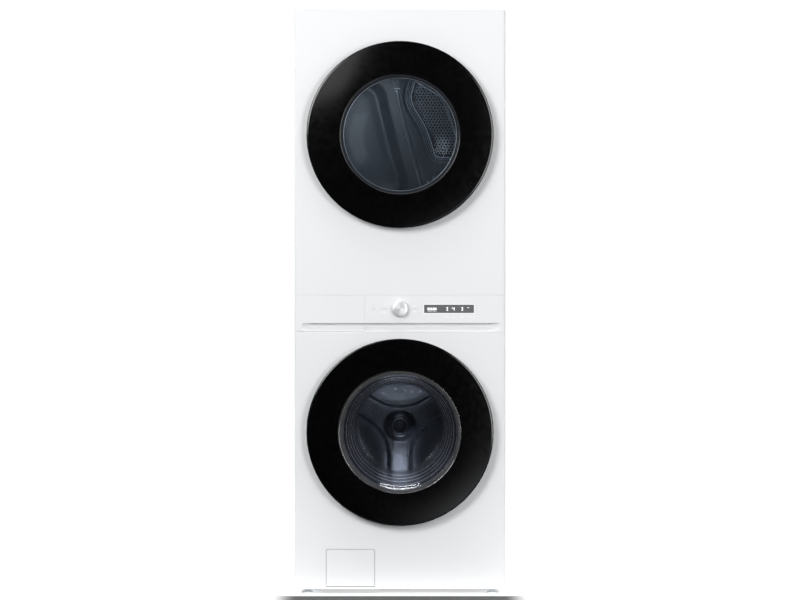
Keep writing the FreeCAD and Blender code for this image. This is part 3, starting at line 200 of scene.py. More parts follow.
finishes = {
    "white_enamel": finish("whiteEnamel", dict(
        tone=(0.80, 0.81, 0.82), toneB=(0.82, 0.83, 0.84), toneScale=1.6, grainScale=420,
        rough=(0.34, 0.42), grain=0.05, grainDepth=0.00012, coat=0.2, coatRough=0.18)),
    "white_plastic": finish("whitePlastic", dict(
        tone=(0.79, 0.80, 0.81), toneB=(0.82, 0.83, 0.84), toneScale=3.0, grainScale=1400,
        rough=(0.36, 0.46), grain=0.05, grainDepth=0.0001)),
    "stainless": finish("brushedStainless", dict(
        tone=(0.20, 0.21, 0.235), toneB=(0.24, 0.25, 0.275), toneScale=5.0, grainScale=90, stretch=(1, 6, 1),
        rough=(0.27, 0.36), grain=0.012, metal=1.0)),
    "cast_aluminium": finish("castAluminium", dict(
        tone=(0.45, 0.46, 0.47), toneB=(0.60, 0.61, 0.62), toneScale=30, grainScale=500,
        rough=(0.38, 0.60), grain=0.5, metal=0.9)),
    "black_plastic": finish("blackPlastic", dict(
        tone=(0.010, 0.011, 0.013), toneB=(0.018, 0.019, 0.022), toneScale=20, grainScale=1800,
        rough=(0.38, 0.55), grain=0.25, grainDepth=0.0001)),
    "dark_plastic": finish("darkPlastic", dict(
        tone=(0.035, 0.040, 0.050), toneB=(0.055, 0.062, 0.074), toneScale=12, grainScale=1500,
        rough=(0.30, 0.46), grain=0.2, grainDepth=0.0001)),
    "duct_plastic": finish("ductPlastic", dict(
        tone=(0.20, 0.21, 0.23), toneB=(0.28, 0.29, 0.31), toneScale=10, grainScale=1200,
        rough=(0.42, 0.60), grain=0.25, grainDepth=0.0001)),
    "tub_plastic": finish("tubPlastic", dict(
        tone=(0.60, 0.61, 0.60), toneB=(0.70, 0.71, 0.69), toneScale=6, grainScale=900,
        rough=(0.40, 0.58), grain=0.25)),
    "grey_rubber": finish("greyRubber", dict(
        tone=(0.12, 0.125, 0.13), toneB=(0.18, 0.185, 0.19), toneScale=18, grainScale=900,
        rough=(0.55, 0.75), grain=0.3)),
    "belt_rubber": finish("beltRubber", dict(
        tone=(0.018, 0.018, 0.019), toneB=(0.035, 0.035, 0.036), toneScale=25, grainScale=1100,
        rough=(0.60, 0.80), grain=0.4)),
    "concrete": finish("castConcrete", dict(
        tone=(0.36, 0.35, 0.33), toneB=(0.50, 0.49, 0.46), toneScale=40, grainScale=350,
        rough=(0.75, 0.95), grain=0.8, grainDepth=0.0008)),
    "steel": finish("plainSteel", dict(
        tone=(0.45, 0.46, 0.47), toneB=(0.58, 0.59, 0.60), toneScale=40, grainScale=500, stretch=(1, 1, 4),
        rough=(0.25, 0.42), grain=0.2, metal=1.0)),
    "circuit_board": finish("circuitBoard", dict(
        tone=(0.02, 0.13, 0.06), toneB=(0.03, 0.20, 0.10), toneScale=220, grainScale=800,
        rough=(0.25, 0.45), grain=0.4)),
    "copper_winding": finish("copperWinding", dict(
        tone=(0.45, 0.18, 0.07), toneB=(0.70, 0.34, 0.15), toneScale=120, grainScale=300, stretch=(1, 12, 1),
        rough=(0.22, 0.40), grain=0.8, grainDepth=0.0006, metal=1.0)),
    "dryer_enamel": finish("dryerEnamel", dict(
        tone=(0.095, 0.105, 0.118), toneB=(0.12, 0.13, 0.145), toneScale=5, grainScale=700,
        rough=(0.38, 0.48), grain=0.05)),
    "black_glass": finish("blackGlass", dict(
        tone=(0.0004, 0.0004, 0.0006), toneB=(0.0007, 0.0007, 0.001), toneScale=4, grainScale=60,
        rough=(0.11, 0.15), grain=0.01)),
    "display_glass": finish("displayGlass", dict(
        tone=(0.135, 0.138, 0.14), toneB=(0.15, 0.153, 0.155), toneScale=60, grainScale=900,
        rough=(0.16, 0.22), grain=0.02)),
}


def galvanisedFinish():
    # zinc spangle: crystals of slightly different brightness
    mat, tree, shader = newFinish("galvanisedSheet")
    cells = tree.nodes.new("ShaderNodeTexVoronoi")
    cells.inputs["Scale"].default_value = 55
    tree.links.new(patternVector(tree), cells.inputs["Vector"])
    tone = tree.nodes.new("ShaderNodeSeparateColor")
    tree.links.new(cells.outputs["Color"], tone.inputs["Color"])
    tree.links.new(twoTones(tree, tone.outputs["Red"], (0.47, 0.49, 0.51), (0.62, 0.64, 0.66), 0.0, 1.0),
                   shader.inputs["Base Color"])
    tree.links.new(spread(tree, tone.outputs["Green"], 0.34, 0.48), shader.inputs["Roughness"])
    fine = noiseOf(tree, patternVector(tree), 600)
    tree.links.new(bumpOf(tree, fine, 0.08, 0.0002), shader.inputs["Normal"])
    shader.inputs["Metallic"].default_value = 0.85
    return mat


def spunFinish():
    # concentric turning marks about the knob's axis, with a painted highlight: the bow-tie sheen of a spun face,
    # painted into the base colour by angle
    mat, tree, shader = newFinish("spunAluminium")
    centre = middleOf("selector_knob")
    coords = tree.nodes.new("ShaderNodeTexCoord")
    shift = tree.nodes.new("ShaderNodeMapping")
    shift.inputs["Location"].default_value = (-centre.x, -centre.y, -centre.z)
    tree.links.new(coords.outputs["Object"], shift.inputs["Vector"])
    axes = tree.nodes.new("ShaderNodeSeparateXYZ")
    tree.links.new(shift.outputs["Vector"], axes.inputs["Vector"])
    angle = tree.nodes.new("ShaderNodeMath")
    angle.operation = "ARCTAN2"
    tree.links.new(axes.outputs["Z"], angle.inputs[0])
    tree.links.new(axes.outputs["X"], angle.inputs[1])
    double = tree.nodes.new("ShaderNodeMath")
    double.operation = "MULTIPLY_ADD"
    double.inputs[1].default_value = 2.0
    double.inputs[2].default_value = math.radians(90)
    tree.links.new(angle.outputs[0], double.inputs[0])
    wave = tree.nodes.new("ShaderNodeMath")
    wave.operation = "COSINE"
    tree.links.new(double.outputs[0], wave.inputs[0])
    # painted highlight: two opposite sectors lighter and two darker, fixed to the angle round the knob
    paintedSheen = spread(tree, wave.outputs[0], 0.0, 1.0, -1.0, 1.0)
    tree.links.new(twoTones(tree, paintedSheen, (0.62, 0.63, 0.64), (0.90, 0.90, 0.90), 0.15, 0.85),
                   shader.inputs["Base Color"])
    reach = tree.nodes.new("ShaderNodeVectorMath")
    reach.operation = "LENGTH"
    flat = tree.nodes.new("ShaderNodeCombineXYZ")
    tree.links.new(axes.outputs["X"], flat.inputs["X"])
    tree.links.new(axes.outputs["Z"], flat.inputs["Z"])
    tree.links.new(flat.outputs["Vector"], reach.inputs[0])
    marks = tree.nodes.new("ShaderNodeCombineXYZ")
    tree.links.new(reach.outputs["Value"], marks.inputs["X"])
    rings = noiseOf(tree, marks.outputs["Vector"], 5200, 1.0)
    tree.links.new(bumpOf(tree, rings, 0.25, 0.00008), shader.inputs["Normal"])
    tree.links.new(spread(tree, rings, 0.26, 0.40), shader.inputs["Roughness"])
    shader.inputs["Metallic"].default_value = 0.35
    return mat


def glassFinish(name, s):
    # see-through wall whose mirror share follows the viewing slant
    mat, tree, shader = newFinish(name)
    vector = patternVector(tree)
    film = noiseOf(tree, vector, s["toneScale"])
    tree.links.new(twoTones(tree, film, s["tone"], s["toneB"]), shader.inputs["Base Color"])
    tree.links.new(spread(tree, noiseOf(tree, vector, 90), *s["rough"]), shader.inputs["Roughness"])
    shader.inputs["Specular IOR Level"].default_value = 1.0
    clear = tree.nodes.new("ShaderNodeBsdfTransparent")
    clear.inputs["Color"].default_value = (*s["through"], 1)
    slant = tree.nodes.new("ShaderNodeLayerWeight")
    slant.inputs["Blend"].default_value = s["blend"]
    share = spread(tree, slant.outputs["Facing"], *s["share"], 0.0, 1.0)
    mix = tree.nodes.new("ShaderNodeMixShader")
    tree.links.new(share, mix.inputs[0])
    tree.links.new(clear.outputs[0], mix.inputs[1])
    tree.links.new(shader.outputs[0], mix.inputs[2])
    tree.links.new(mix.outputs[0], tree.nodes["Material Output"].inputs["Surface"])
    return mat


def litFinish(name, tone, toneB, strength):
    # a printed or lit mark, faintly uneven
    mat, tree, shader = newFinish(name)
    color = twoTones(tree, noiseOf(tree, patternVector(tree), 700), tone, toneB)
    tree.links.new(color, shader.inputs["Base Color"])
    tree.links.new(color, shader.inputs["Emission Color"])
    shader.inputs["Emission Strength"].default_value = strength
    shader.inputs["Roughness"].default_value = 0.5
    return mat


finishes["galvanised"] = galvanisedFinish()
finishes["spun_aluminium"] = spunFinish()
finishes["clear_glass"] = glassFinish("pressedGlass", dict(
    tone=(0.022, 0.024, 0.032), toneB=(0.035, 0.038, 0.05), toneScale=8, rough=(0.06, 0.12),
    through=(0.74, 0.76, 0.80), blend=0.35, share=(0.04, 0.85)))
finishes["smoked_glass"] = glassFinish("smokedGlass", dict(
    tone=(0.004, 0.005, 0.008), toneB=(0.008, 0.010, 0.014), toneScale=5, rough=(0.03, 0.06),
    through=(0.85, 0.875, 0.90), blend=0.2, share=(0.05, 0.6)))
grilleFinish = finish("ventGrille", dict(
    tone=(0.030, 0.034, 0.040), toneB=(0.042, 0.046, 0.054), toneScale=30, grainScale=900, rough=(0.5, 0.6), grain=0.1))
# light tone for the screws and rib ends, and a painted highlight on the step and crease beads of the dark wall
beadToneAndHighlight = finish("pressedBeadAndHighlight", dict(
    tone=(0.42, 0.44, 0.47), toneB=(0.50, 0.52, 0.55), toneScale=40, grainScale=900, rough=(0.26, 0.36), grain=0.05,
    metal=0.3))
# painted highlight: a tone lighter than the steel and the enamel, for the edge lines of the star and the hook on the
# wall
softPaintedHighlight = finish("softPaintedHighlight", dict(
    tone=(0.20, 0.215, 0.24), toneB=(0.25, 0.265, 0.29), toneScale=40, grainScale=900, rough=(0.30, 0.40), grain=0.05,
    metal=0.2))
inkFinish = litFinish("greyInk", (0.50, 0.51, 0.52), (0.56, 0.57, 0.58), 0.0)
# white print that also glows faintly: the glow is painted light, not a lamp
faintInkPaintedGlow = litFinish("faintInkPaintedGlow", (0.88, 0.88, 0.89), (0.92, 0.92, 0.92), 0.12)
digitFinish = litFinish("litDigits", (0.85, 0.87, 0.88), (0.95, 0.96, 0.97), 0.9)

for part in frame["record"]["subparts"]:
    for place in nodes[part["node"]].material_slots:
        place.material = finishes[part["material_slot"]]
for place in nodes["dryer_vent_grille"].material_slots:
    place.material = grilleFinish
print("finishes assigned")


# washer door: glass bowl, rims

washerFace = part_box("washer_door_ring")
washerAxis = middleOf("washer_door_ring")
dryerAxis = middleOf("dryer_door_ring")
faceY = washerFace[0].y
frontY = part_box("washer_front_panel")[0].y
print("washer axis", round(washerAxis.z, 4), "dryer axis", round(dryerAxis.z, 4))

dome = dict(drop=4.0 * mm, edge=3.0 * mm, outer=302 * mm, seat=1.7 * mm, steps=26, front=0.05 * mm, back=4.9 * mm,
            lip=1.3 * mm, flatness=0.72, roll=2.2 * mm, skirt=7 * mm)


def doorGlass(name, node, innerR, centre, body, s):
    # the black ring: nearly flat inside, falling away gently to a rounded rim
    outerR = s["outer"]
    front = faceY + s["front"]
    back = faceY + s["back"]
    profile = [(innerR, back), (innerR, front + 1.2 * mm), (innerR + 0.4 * mm, front + 0.35 * mm),
               (innerR + s["lip"], front)]
    start = innerR + s["lip"]
    end = outerR - s["edge"]
    for i in range(1, s["steps"] + 1):
        t = i / s["steps"]
        profile.append((start + (end - start) * t, front + s["drop"] * t * t * s["flatness"]))
    y = profile[-1][1]
    for a in (25, 45, 65, 90):
        k = math.radians(a)
        profile.append((end + s["edge"] * math.sin(k), y + 0.3 * mm + s["roll"] * (1 - math.cos(k))))
    foot = faceY + s["skirt"]
    profile += [(outerR, foot), (outerR - s["seat"], foot), (outerR - s["seat"], back)]
    piece = lathe(name, profile, centre, finishes["black_glass"], body, turns=256, sharpAngle=50)
    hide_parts(node)


doorGlass("washerDoorGlass", "washer_door_ring", 197 * mm, washerAxis, "washer_door", dome)
doorGlass("dryerDoorGlass", "dryer_door_ring", 192 * mm, dryerAxis, "dryer_door", dome)

# lines holds the radius, the depth behind the face and the thickness of each rib's edge, in millimetres
bowl = dict(
    flangeR=199.5 * mm, mouthR=194 * mm, endR=150 * mm, wall=4.5 * mm, lift=13 * mm, ribs=6, ribDepth=1.5 * mm,
    seat=5.5 * mm, deep=161 * mm, endRound=14 * mm, liftFrom=20 * mm, liftTo=160 * mm, inside=range(2, 6),
    lines=((186.2, 11, 0.7), (183.6, 19, 0.5), (178.5, 42, 0.7), (171.0, 67, 0.5), (164.5, 91, 0.6),
           (157.5, 114, 0.5), (149.6, 140, 0.9), (145.4, 150, 0.7)))


def bowlRise(y):
    # how far the bowl's sections shift upwards at depth y
    y0 = faceY + bowl["liftFrom"]
    y1 = faceY + bowl["liftTo"]
    t = min(max((y - y0) / (y1 - y0), 0.0), 1.0)
    return bowl["lift"] * t


def bowlOutline(s):
    # from the flange, down the ribbed throat, to the flat end
    start = faceY + s["seat"]
    deep = faceY + s["deep"]
    bend = s["endRound"]
    outer = [(s["flangeR"], start), (s["flangeR"], start + 5 * mm), (s["mouthR"] + 1.5 * mm, start + 6 * mm)]
    steps = s["ribs"] * 8
    throatTop = start + 9 * mm
    for i in range(steps + 1):
        t = i / steps
        y = throatTop + (deep - 16 * mm - throatTop) * t
        r = s["mouthR"] - 4 * mm + (s["endR"] + 2 * mm - s["mouthR"] + 4 * mm) * (0.35 * t + 0.65 * t ** 1.4)
        outer.append((r + s["ribDepth"] * math.sin(2 * math.pi * s["ribs"] * t), y))
    for a in (15, 30, 45, 60, 75, 90):
        k = math.radians(a)
        outer.append((s["endR"] - bend + bend * math.cos(k), deep - bend + bend * math.sin(k)))
    outer += [(90 * mm, deep + 1.2 * mm), (40 * mm, deep + 1.9 * mm), (0.5 * mm, deep + 2.1 * mm)]
    inner = []
    for r, y in reversed(outer[3:]):
        inner.append((max(r - s["wall"], 0.5 * mm), y - s["wall"] * 0.9))
    rim = [(s["mouthR"] - 6 * mm, start + 4 * mm), (s["mouthR"] - 1 * mm, start)]
    return outer + inner + rim


bowlPiece = lathe("washerBowl", bowlOutline(bowl), washerAxis, finishes["clear_glass"], "washer_door",
                  turns=200, rise=bowlRise, sharpAngle=60)
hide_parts("washer_door_bowl")


def roundRing(name, r, thick, y, centre, material, body):
    # a fine round ring about an axis along Y
    profile = []
    for i in range(10):
        a = 2 * math.pi * i / 10
        profile.append((r + thick * math.cos(a), y + thick * math.sin(a)))
    return lathe(name, profile, centre, material, body, turns=200, sharpAngle=80)


rimFinish = finish("rimChrome", dict(
    tone=(0.35, 0.36, 0.40), toneB=(0.45, 0.46, 0.50), toneScale=30, grainScale=500, rough=(0.12, 0.2), grain=0.02,
    metal=1.0))
roundRing("washerRimLine", 196.6 * mm, 0.7 * mm, faceY + 2.6 * mm, washerAxis, rimFinish, "washer_door")
lathe("washerWindowBezel", [
    (196.4 * mm, faceY + 2.6 * mm), (196.4 * mm, faceY + 5.2 * mm), (187.2 * mm, faceY + 5.3 * mm),
    (187.8 * mm, faceY + 3.6 * mm), (191 * mm, faceY + 2.8 * mm)], washerAxis, finishes["belt_rubber"],
    "washer_door", turns=200)
# painted reflection: a grey tone on the rings that stand for clear glass ribs
ribPaintedReflection = finish("ribPaintedReflection", dict(
    tone=(0.16, 0.17, 0.20), toneB=(0.24, 0.25, 0.29), toneScale=25, grainScale=500, rough=(0.20, 0.30), grain=0.03,
    metal=0.45))


def bowlLines(s):
    # the moulded ribs of the throat, and the double bead at its end, as grey rings: a painted reflection of the clear
    # glass ribs, with glints from the lamps
    for i, (r, y, thick) in enumerate(s["lines"]):
        centre = washerAxis + Vector((0, 0, bowlRise(faceY + y * mm)))
        roundRing("bowlLine" + str(i), (r - s["wall"] / mm) * mm if i in s["inside"] else r * mm, thick * mm,
                  faceY + y * mm, centre, ribPaintedReflection, "washer_door")


bowlLines(bowl)

# washer drum

star = dict(
    halfArm=29 * mm, fillet=156 * mm, depth=5 * mm, edge=15 * mm, slope=80 * mm, slopeDepth=5 * mm, crown=0.4 * mm,
    boss=32 * mm, bossEdge=26 * mm, bossHeight=9 * mm, rimFrom=262 * mm, rimTo=286 * mm, rimHeight=3 * mm,
    seat=13 * mm, sheet=1 * mm, hubR=21 * mm, armFace=10 * mm, rings=96, turns=330)


def starHeight(x, z, s):
    # how far the pressing stands back from the arms' faces, at (x, z) from the hub
    reach = np.hypot(x, z)
    angle = np.arctan2(x, z)
    lobe = np.abs((angle + math.pi / 3) % (2 * math.pi / 3) - math.pi / 3)
    slant = math.pi / 3 - lobe
    fromArm = reach * np.sin(slant)
    alongArm = reach * np.cos(slant)
    centre = (s["halfArm"] + s["fillet"]) / math.sin(math.pi / 3)
    tangent = (s["halfArm"] + s["fillet"]) / math.tan(math.pi / 3)
    u = reach * np.cos(lobe)
    v = reach * np.sin(lobe)
    curved = s["fillet"] - np.hypot(u - centre, v)
    inside = np.where(alongArm > tangent, fromArm - s["halfArm"], curved)
    drop = s["depth"] * smoothStep(-1 * mm, s["edge"], inside)
    drop += s["slopeDepth"] * smoothStep(s["edge"], s["slope"], inside)
    crown = s["crown"] * smoothStep(s["halfArm"] * 0.8, s["halfArm"], fromArm) * (inside < 0)
    hub = s["bossHeight"] * (1 - smoothStep(s["boss"], s["boss"] + s["bossEdge"], reach))
    rim = s["rimHeight"] * smoothStep(s["rimFrom"], s["rimTo"], reach)
    return drop + crown - hub - rim


def drumBack(s):
    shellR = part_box("washer_drum_back")[1].x
    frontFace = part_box("washer_drum_back")[0].y
    baseY = frontFace + s["seat"]
    radii = np.linspace(s["hubR"], shellR - 0.4 * mm, s["rings"])
    angles = np.linspace(0, 2 * math.pi, s["turns"], endpoint=False)
    r, a = np.meshgrid(radii, angles, indexing="ij")
    x = r * np.sin(a)
    z = r * np.cos(a)
    y = baseY + starHeight(x, z, s) - 3 * mm
    verts = np.stack([x + washerAxis.x, y, z + washerAxis.z], axis=-1).reshape(-1, 3).tolist()
    faces = []
    t = s["turns"]
    for j in range(s["rings"] - 1):
        for i in range(t):
            n = (i + 1) % t
            faces.append((j * t + i, (j + 1) * t + i, (j + 1) * t + n, j * t + n))
    piece = addPiece("drumBackStar", verts, faces, finishes["stainless"], "washer_drum", sharpAngle=60)
    thick = piece.modifiers.new("sheet", "SOLIDIFY")
    thick.thickness = s["sheet"]
    thick.offset = -1
    return piece, float(y[0].mean())


drumBackPiece, hubFaceY = drumBack(star)
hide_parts("washer_drum_back")
lathe("drumHubCap", [
    (0.3 * mm, hubFaceY + 3 * mm), (8 * mm, hubFaceY + 2.6 * mm), (15 * mm, hubFaceY + 1 * mm),
    (19.5 * mm, hubFaceY - 2.5 * mm), (22 * mm, hubFaceY - 4.5 * mm), (25 * mm, hubFaceY - 4 * mm),
    (27 * mm, hubFaceY + 1 * mm), (26 * mm, hubFaceY + 8 * mm), (0.3 * mm, hubFaceY + 8 * mm)],
    washerAxis, finishes["dark_plastic"], "washer_drum", turns=72, sharpAngle=50)
lathe("drumHubRing", [
    (22.5 * mm, hubFaceY - 2 * mm), (24 * mm, hubFaceY - 5.5 * mm), (27 * mm, hubFaceY - 6.5 * mm),
    (30 * mm, hubFaceY - 5 * mm), (32.5 * mm, hubFaceY - 1 * mm), (33.5 * mm, hubFaceY + 2.5 * mm),
    (22.5 * mm, hubFaceY + 2.5 * mm)], washerAxis, finishes["stainless"], "washer_drum", turns=96,
    sharpAngle=60)


cellRim = ((0, 0), (1, 0), (2, 0), (2, 1), (2, 2), (1, 2), (0, 2), (0, 1))
drumHoles = dict(inset=1.2 * mm, front=14 * mm, back=6 * mm, rows=34, around=130, share=0.34)


def perforatedShell(name, material, body, s):
    # a drum wall whose cells each have an eight-sided hole
    shellLow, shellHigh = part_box("washer_drum_shell")
    r = shellHigh.x - s["inset"]
    y0 = shellLow.y + s["front"]
    y1 = shellHigh.y - s["back"]
    rows = s["rows"]
    around = s["around"]
    half = 0.5 * s["share"]
    verts = []
    faces = []

    def point(u, v):
        a = 2 * math.pi * u / around
        verts.append((washerAxis.x + r * math.sin(a), y0 + (y1 - y0) * v / rows, washerAxis.z + r * math.cos(a)))
        return len(verts) - 1

    corners = {}

    def corner(i, j):
        key = (i % (2 * around), j)
        if key not in corners:
            corners[key] = point(key[0] / 2, j / 2)
        return corners[key]

    for i in range(around):
        for j in range(rows):
            outer = [corner(2 * i + du, 2 * j + dv) for du, dv in cellRim]
            inner = []
            for du, dv in cellRim:
                a = math.atan2(dv - 1, du - 1)
                inner.append(point(i + 0.5 + half * math.cos(a), j + 0.5 + half * math.sin(a)))
            for k in range(8):
                n = (k + 1) % 8
                faces.append((outer[k], outer[n], inner[n], inner[k]))
    return addPiece(name, verts, faces, material, body, sharpAngle=60)


perforatedShell("drumPerforatedWall", finishes["stainless"], "washer_drum", drumHoles)

# dryer: rear wall pressing and window bezel

backWall = dict(
    rim=316 * mm, rings=120, turns=420, base=321 * mm, step=2.6 * mm, stepWide=5.6 * mm, steps=4, ridge=13 * mm,
    ridgeNear=24 * mm, ridgeFar=75 * mm, ridgeFoot=36 * mm, crease=6 * mm, creaseFoot=62 * mm,
    beadStart=2.4 * mm, beadRadii=(0.8, 0.8, 0.85, 0.95), beadRight=0.150, beadLow=1.45, beadReach=0.30)
ventLow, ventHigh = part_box("dryer_vent_grille")
ventShape = dict(top=(52, 1700), side=((41, 1632), (88, 1543), (114, 1470)), corner=((119.5, 1450), (134, 1440)),
                 low=(218, 1440), bow=(205, 1590))


def throughPoints(points, count):
    # a smooth line through given points
    points = [np.array(p, float) for p in points]
    full = [2 * points[0] - points[1]] + points + [2 * points[-1] - points[-2]]
    line = []
    for i in range(1, len(full) - 2):
        a, b, c, d = full[i - 1:i + 3]
        for k in range(count):
            t = k / count
            line.append(0.5 * (2 * b + (c - a) * t + (2 * a - 5 * b + 4 * c - d) * t * t
                               + (3 * b - a - 3 * c + d) * t ** 3))
    line.append(points[-1])
    return line


def ventOutline(s):
    left = throughPoints([s["top"], *s["side"]], 12)
    corner = throughPoints([s["side"][-1], *s["corner"]], 6)
    right = throughPoints([s["low"], s["bow"], s["top"]], 14)
    line = left + corner[1:] + [np.array(s["low"], float)] + right[1:-1]
    return np.array(line) * mm


def distanceTo(line, x, z, closed):
    # unsigned distance from points to a line of segments, and the side for an open line
    best = np.full(x.shape, 1e9)
    side = np.zeros(x.shape)
    count = len(line) if closed else len(line) - 1
    for i in range(count):
        a = line[i]
        b = line[(i + 1) % len(line)]
        d = b - a
        t = np.clip(((x - a[0]) * d[0] + (z - a[1]) * d[1]) / max(d @ d, 1e-12), 0, 1)
        gap = np.hypot(x - a[0] - t * d[0], z - a[1] - t * d[1])
        cross = d[0] * (z - a[1]) - d[1] * (x - a[0])
        side = np.where(gap < best, np.sign(cross), side)
        best = np.minimum(best, gap)
    return best, side


def insideOf(line, x, z):
    # whether points are inside a closed line
    hit = np.zeros(x.shape, bool)
    for i in range(len(line)):
        a = line[i]
        b = line[(i + 1) % len(line)]
        crosses = (a[1] > z) != (b[1] > z)
        with np.errstate(divide="ignore", invalid="ignore"):
            meet = (b[0] - a[0]) * (z - a[1]) / (b[1] - a[1]) + a[0]
        hit ^= crosses & (x < meet)
    return hit


ridgeLine = np.array(throughPoints(
    [(-150, 1705), (-101, 1672), (-78, 1648), (-68, 1603), (-52, 1540), (-35, 1469), (-18, 1412), (-7, 1373),
     (-5, 1347), (-14, 1324), (-40, 1290)], 6)) * mm
creaseLine = np.array([(-22, 1725), (100, 1270)]) * mm


def backWallDepth(x, z, s):
    # y of the pressed wall at (x, z), and whether the point is over the vent's opening
    y = np.full(x.shape, s["base"])
    gap, side = distanceTo(ridgeLine, x, z, False)
    signed = gap * np.where(side > 0, 1, -1)
    before = np.minimum(signed, 0)
    left = 0.5 * np.exp(-(before / s["ridgeNear"]) ** 2) + 0.5 * np.exp(-(before / s["ridgeFar"]) ** 2)
    right = 1 - smoothStep(-4 * mm, s["ridgeFoot"], signed)
    y -= s["ridge"] * np.where(signed < 0, left, right)
    gap, side = distanceTo(creaseLine, x, z, False)
    signed = gap * np.where(side > 0, 1, -1)
    rise = np.where(signed > 0, 1 - smoothStep(0, s["creaseFoot"], signed), np.clip(1 + signed / (3.0 * mm), 0, 1))
    y -= s["crease"] * rise
    outline = ventOutline(ventShape)
    gap, _ = distanceTo(outline, x, z, True)
    inside = insideOf(outline, x, z)
    signed = np.where(inside, -gap, gap)
    level = ventLow.y - 0.2 * mm
    stepped = np.full(x.shape, level)
    for i in range(s["steps"]):
        edge = i * s["stepWide"]
        stepped -= s["step"] * smoothStep(edge, edge + 1.6 * mm, signed)
    blend = smoothStep(s["steps"] * s["stepWide"], s["steps"] * s["stepWide"] + 9 * mm, signed)
    y = stepped * (1 - blend) + y * blend
    behind = ventHigh.y + 0.4 * mm
    y = np.where(inside, level + (behind - level) * smoothStep(0, 2.2 * mm, -signed), y)
    return y, inside & (signed < -5 * mm)


def dryerBackWall(s):
    radii = np.linspace(0.5 * mm, s["rim"], s["rings"])
    angles = np.linspace(0, 2 * math.pi, s["turns"], endpoint=False)
    r, a = np.meshgrid(radii, angles, indexing="ij")
    x = r * np.sin(a)
    z = dryerAxis.z + r * np.cos(a)
    y, opening = backWallDepth(x, z, s)
    y = np.where(r > s["rim"] - 8 * mm, np.minimum(y + 6 * mm, 331 * mm), y)
    verts = np.stack([x, y, z], axis=-1).reshape(-1, 3).tolist()
    faces = []
    t = s["turns"]
    for j in range(s["rings"] - 1):
        for i in range(t):
            n = (i + 1) % t
            if not (opening[j, i] or opening[j + 1, i] or opening[j, n] or opening[j + 1, n]):
                faces.append((j * t + i, (j + 1) * t + i, (j + 1) * t + n, j * t + n))
    return addPiece("dryerBackWall", verts, faces, finishes["dryer_enamel"], "cabinet",
                    sharpAngle=70)


dryerBackWall(backWall)
print("dryer back wall made")


def bead(name, line, r, y, material, closed=False, body="cabinet"):
    # a fine raised line, in a loop or with flat ends; line is an array of (x, z), y one depth or one for each point
    count = len(line)
    verts = []
    for i in range(count):
        ahead = line[(i + 1) % count] if closed or i + 1 < count else line[i]
        behind = line[i - 1] if closed or i > 0 else line[i]
        along = ahead - behind
        along = along / max(float(np.hypot(*along)), 1e-9)
        across = np.array([-along[1], along[0]])
        depth = y[i] if hasattr(y, "__len__") else y
        for k in range(8):
            a = 2 * math.pi * k / 8
            x, z = line[i] + across * r * math.cos(a)
            verts.append((float(x), float(depth) + r * math.sin(a), float(z)))
    faces = []
    for i in range(count if closed else count - 1):
        j = (i + 1) % count
        for k in range(8):
            m = (k + 1) % 8
            faces.append((i * 8 + k, i * 8 + m, j * 8 + m, j * 8 + k))
    if not closed:
        faces.append(tuple(range(7, -1, -1)))
        faces.append(tuple((count - 1) * 8 + k for k in range(8)))
    return addPiece(name, verts, faces, material, body, sharpAngle=80)


def grownLine(line, out):
    # the outline moved outwards by out
    moved = []
    count = len(line)
    for i in range(count):
        along = line[(i + 1) % count] - line[i - 1]
        along = along / max(float(np.hypot(*along)), 1e-9)
        moved.append(line[i] + np.array([along[1], -along[0]]) * out)
    return np.array(moved)


# painted highlight: a tone far lighter than the wall's enamel, so that raised lips and beads read as lit edges
paintedHighlightLip = finish("paintedHighlightLip", dict(
    tone=(0.62, 0.66, 0.72), toneB=(0.72, 0.76, 0.82), toneScale=30, grainScale=700, rough=(0.25, 0.35), grain=0.02,
    metal=0.3))


def wallBeads(s):
    # the border, the steps, the crease and the hook are raised beads on the dark wall; their light tones are painted
    # highlights
    outline = ventOutline(ventShape)
    middle = outline.mean(axis=0)
    sample = grownLine(outline, 1 * mm)
    sign = 1 if np.hypot(*(sample[5] - middle)) > np.hypot(*(outline[5] - middle)) else -1
    border = grownLine(outline, sign * 0.6 * mm)
    bead("ventBorder", border, 1.5 * mm, ventLow.y - 3.6 * mm, paintedHighlightLip, True)
    # painted shade: a black sheet right behind the grille, for the dark duct seen through its holes
    shade = grownLine(outline, sign * 0.3 * mm)
    verts = [(float(x), ventHigh.y + 0.9 * mm, float(z)) for x, z in shade]
    addPiece("ventShade", verts, [tuple(range(len(verts)))], finishes["belt_rubber"], "cabinet",
             smooth=False)
    for i, r in enumerate(s["beadRadii"]):
        out = s["beadStart"] + s["stepWide"] * i
        line = grownLine(outline, sign * out)
        keep = np.array([q for q in line if q[0] < s["beadRight"] or q[1] < s["beadLow"]])
        keep = np.array([q for q in keep if math.hypot(q[0], q[1] - dryerAxis.z) < s["beadReach"]])
        depth = ventLow.y - 4.2 * mm - s["step"] * (i + 1)
        bead("ventStep" + str(i), keep, r * mm, depth, paintedHighlightLip if i < 2 else beadToneAndHighlight)
    crease = np.array(throughPoints([(-22, 1725), (14, 1545), (38, 1455), (77, 1318), (92, 1268)], 14)) * mm
    depth, _ = backWallDepth(crease[:, 0], crease[:, 1], s)
    bead("wallCrease", crease, 1.0 * mm, depth - 0.2 * mm, beadToneAndHighlight)
    hook = np.array(throughPoints([(-5, 1347), (-8, 1325), (-15, 1306), (-26, 1292)], 10)) * mm
    depth, _ = backWallDepth(hook[:, 0], hook[:, 1], s)
    bead("wallHook", hook, 1.8 * mm, depth - 0.4 * mm, softPaintedHighlight)


wallBeads(backWall)


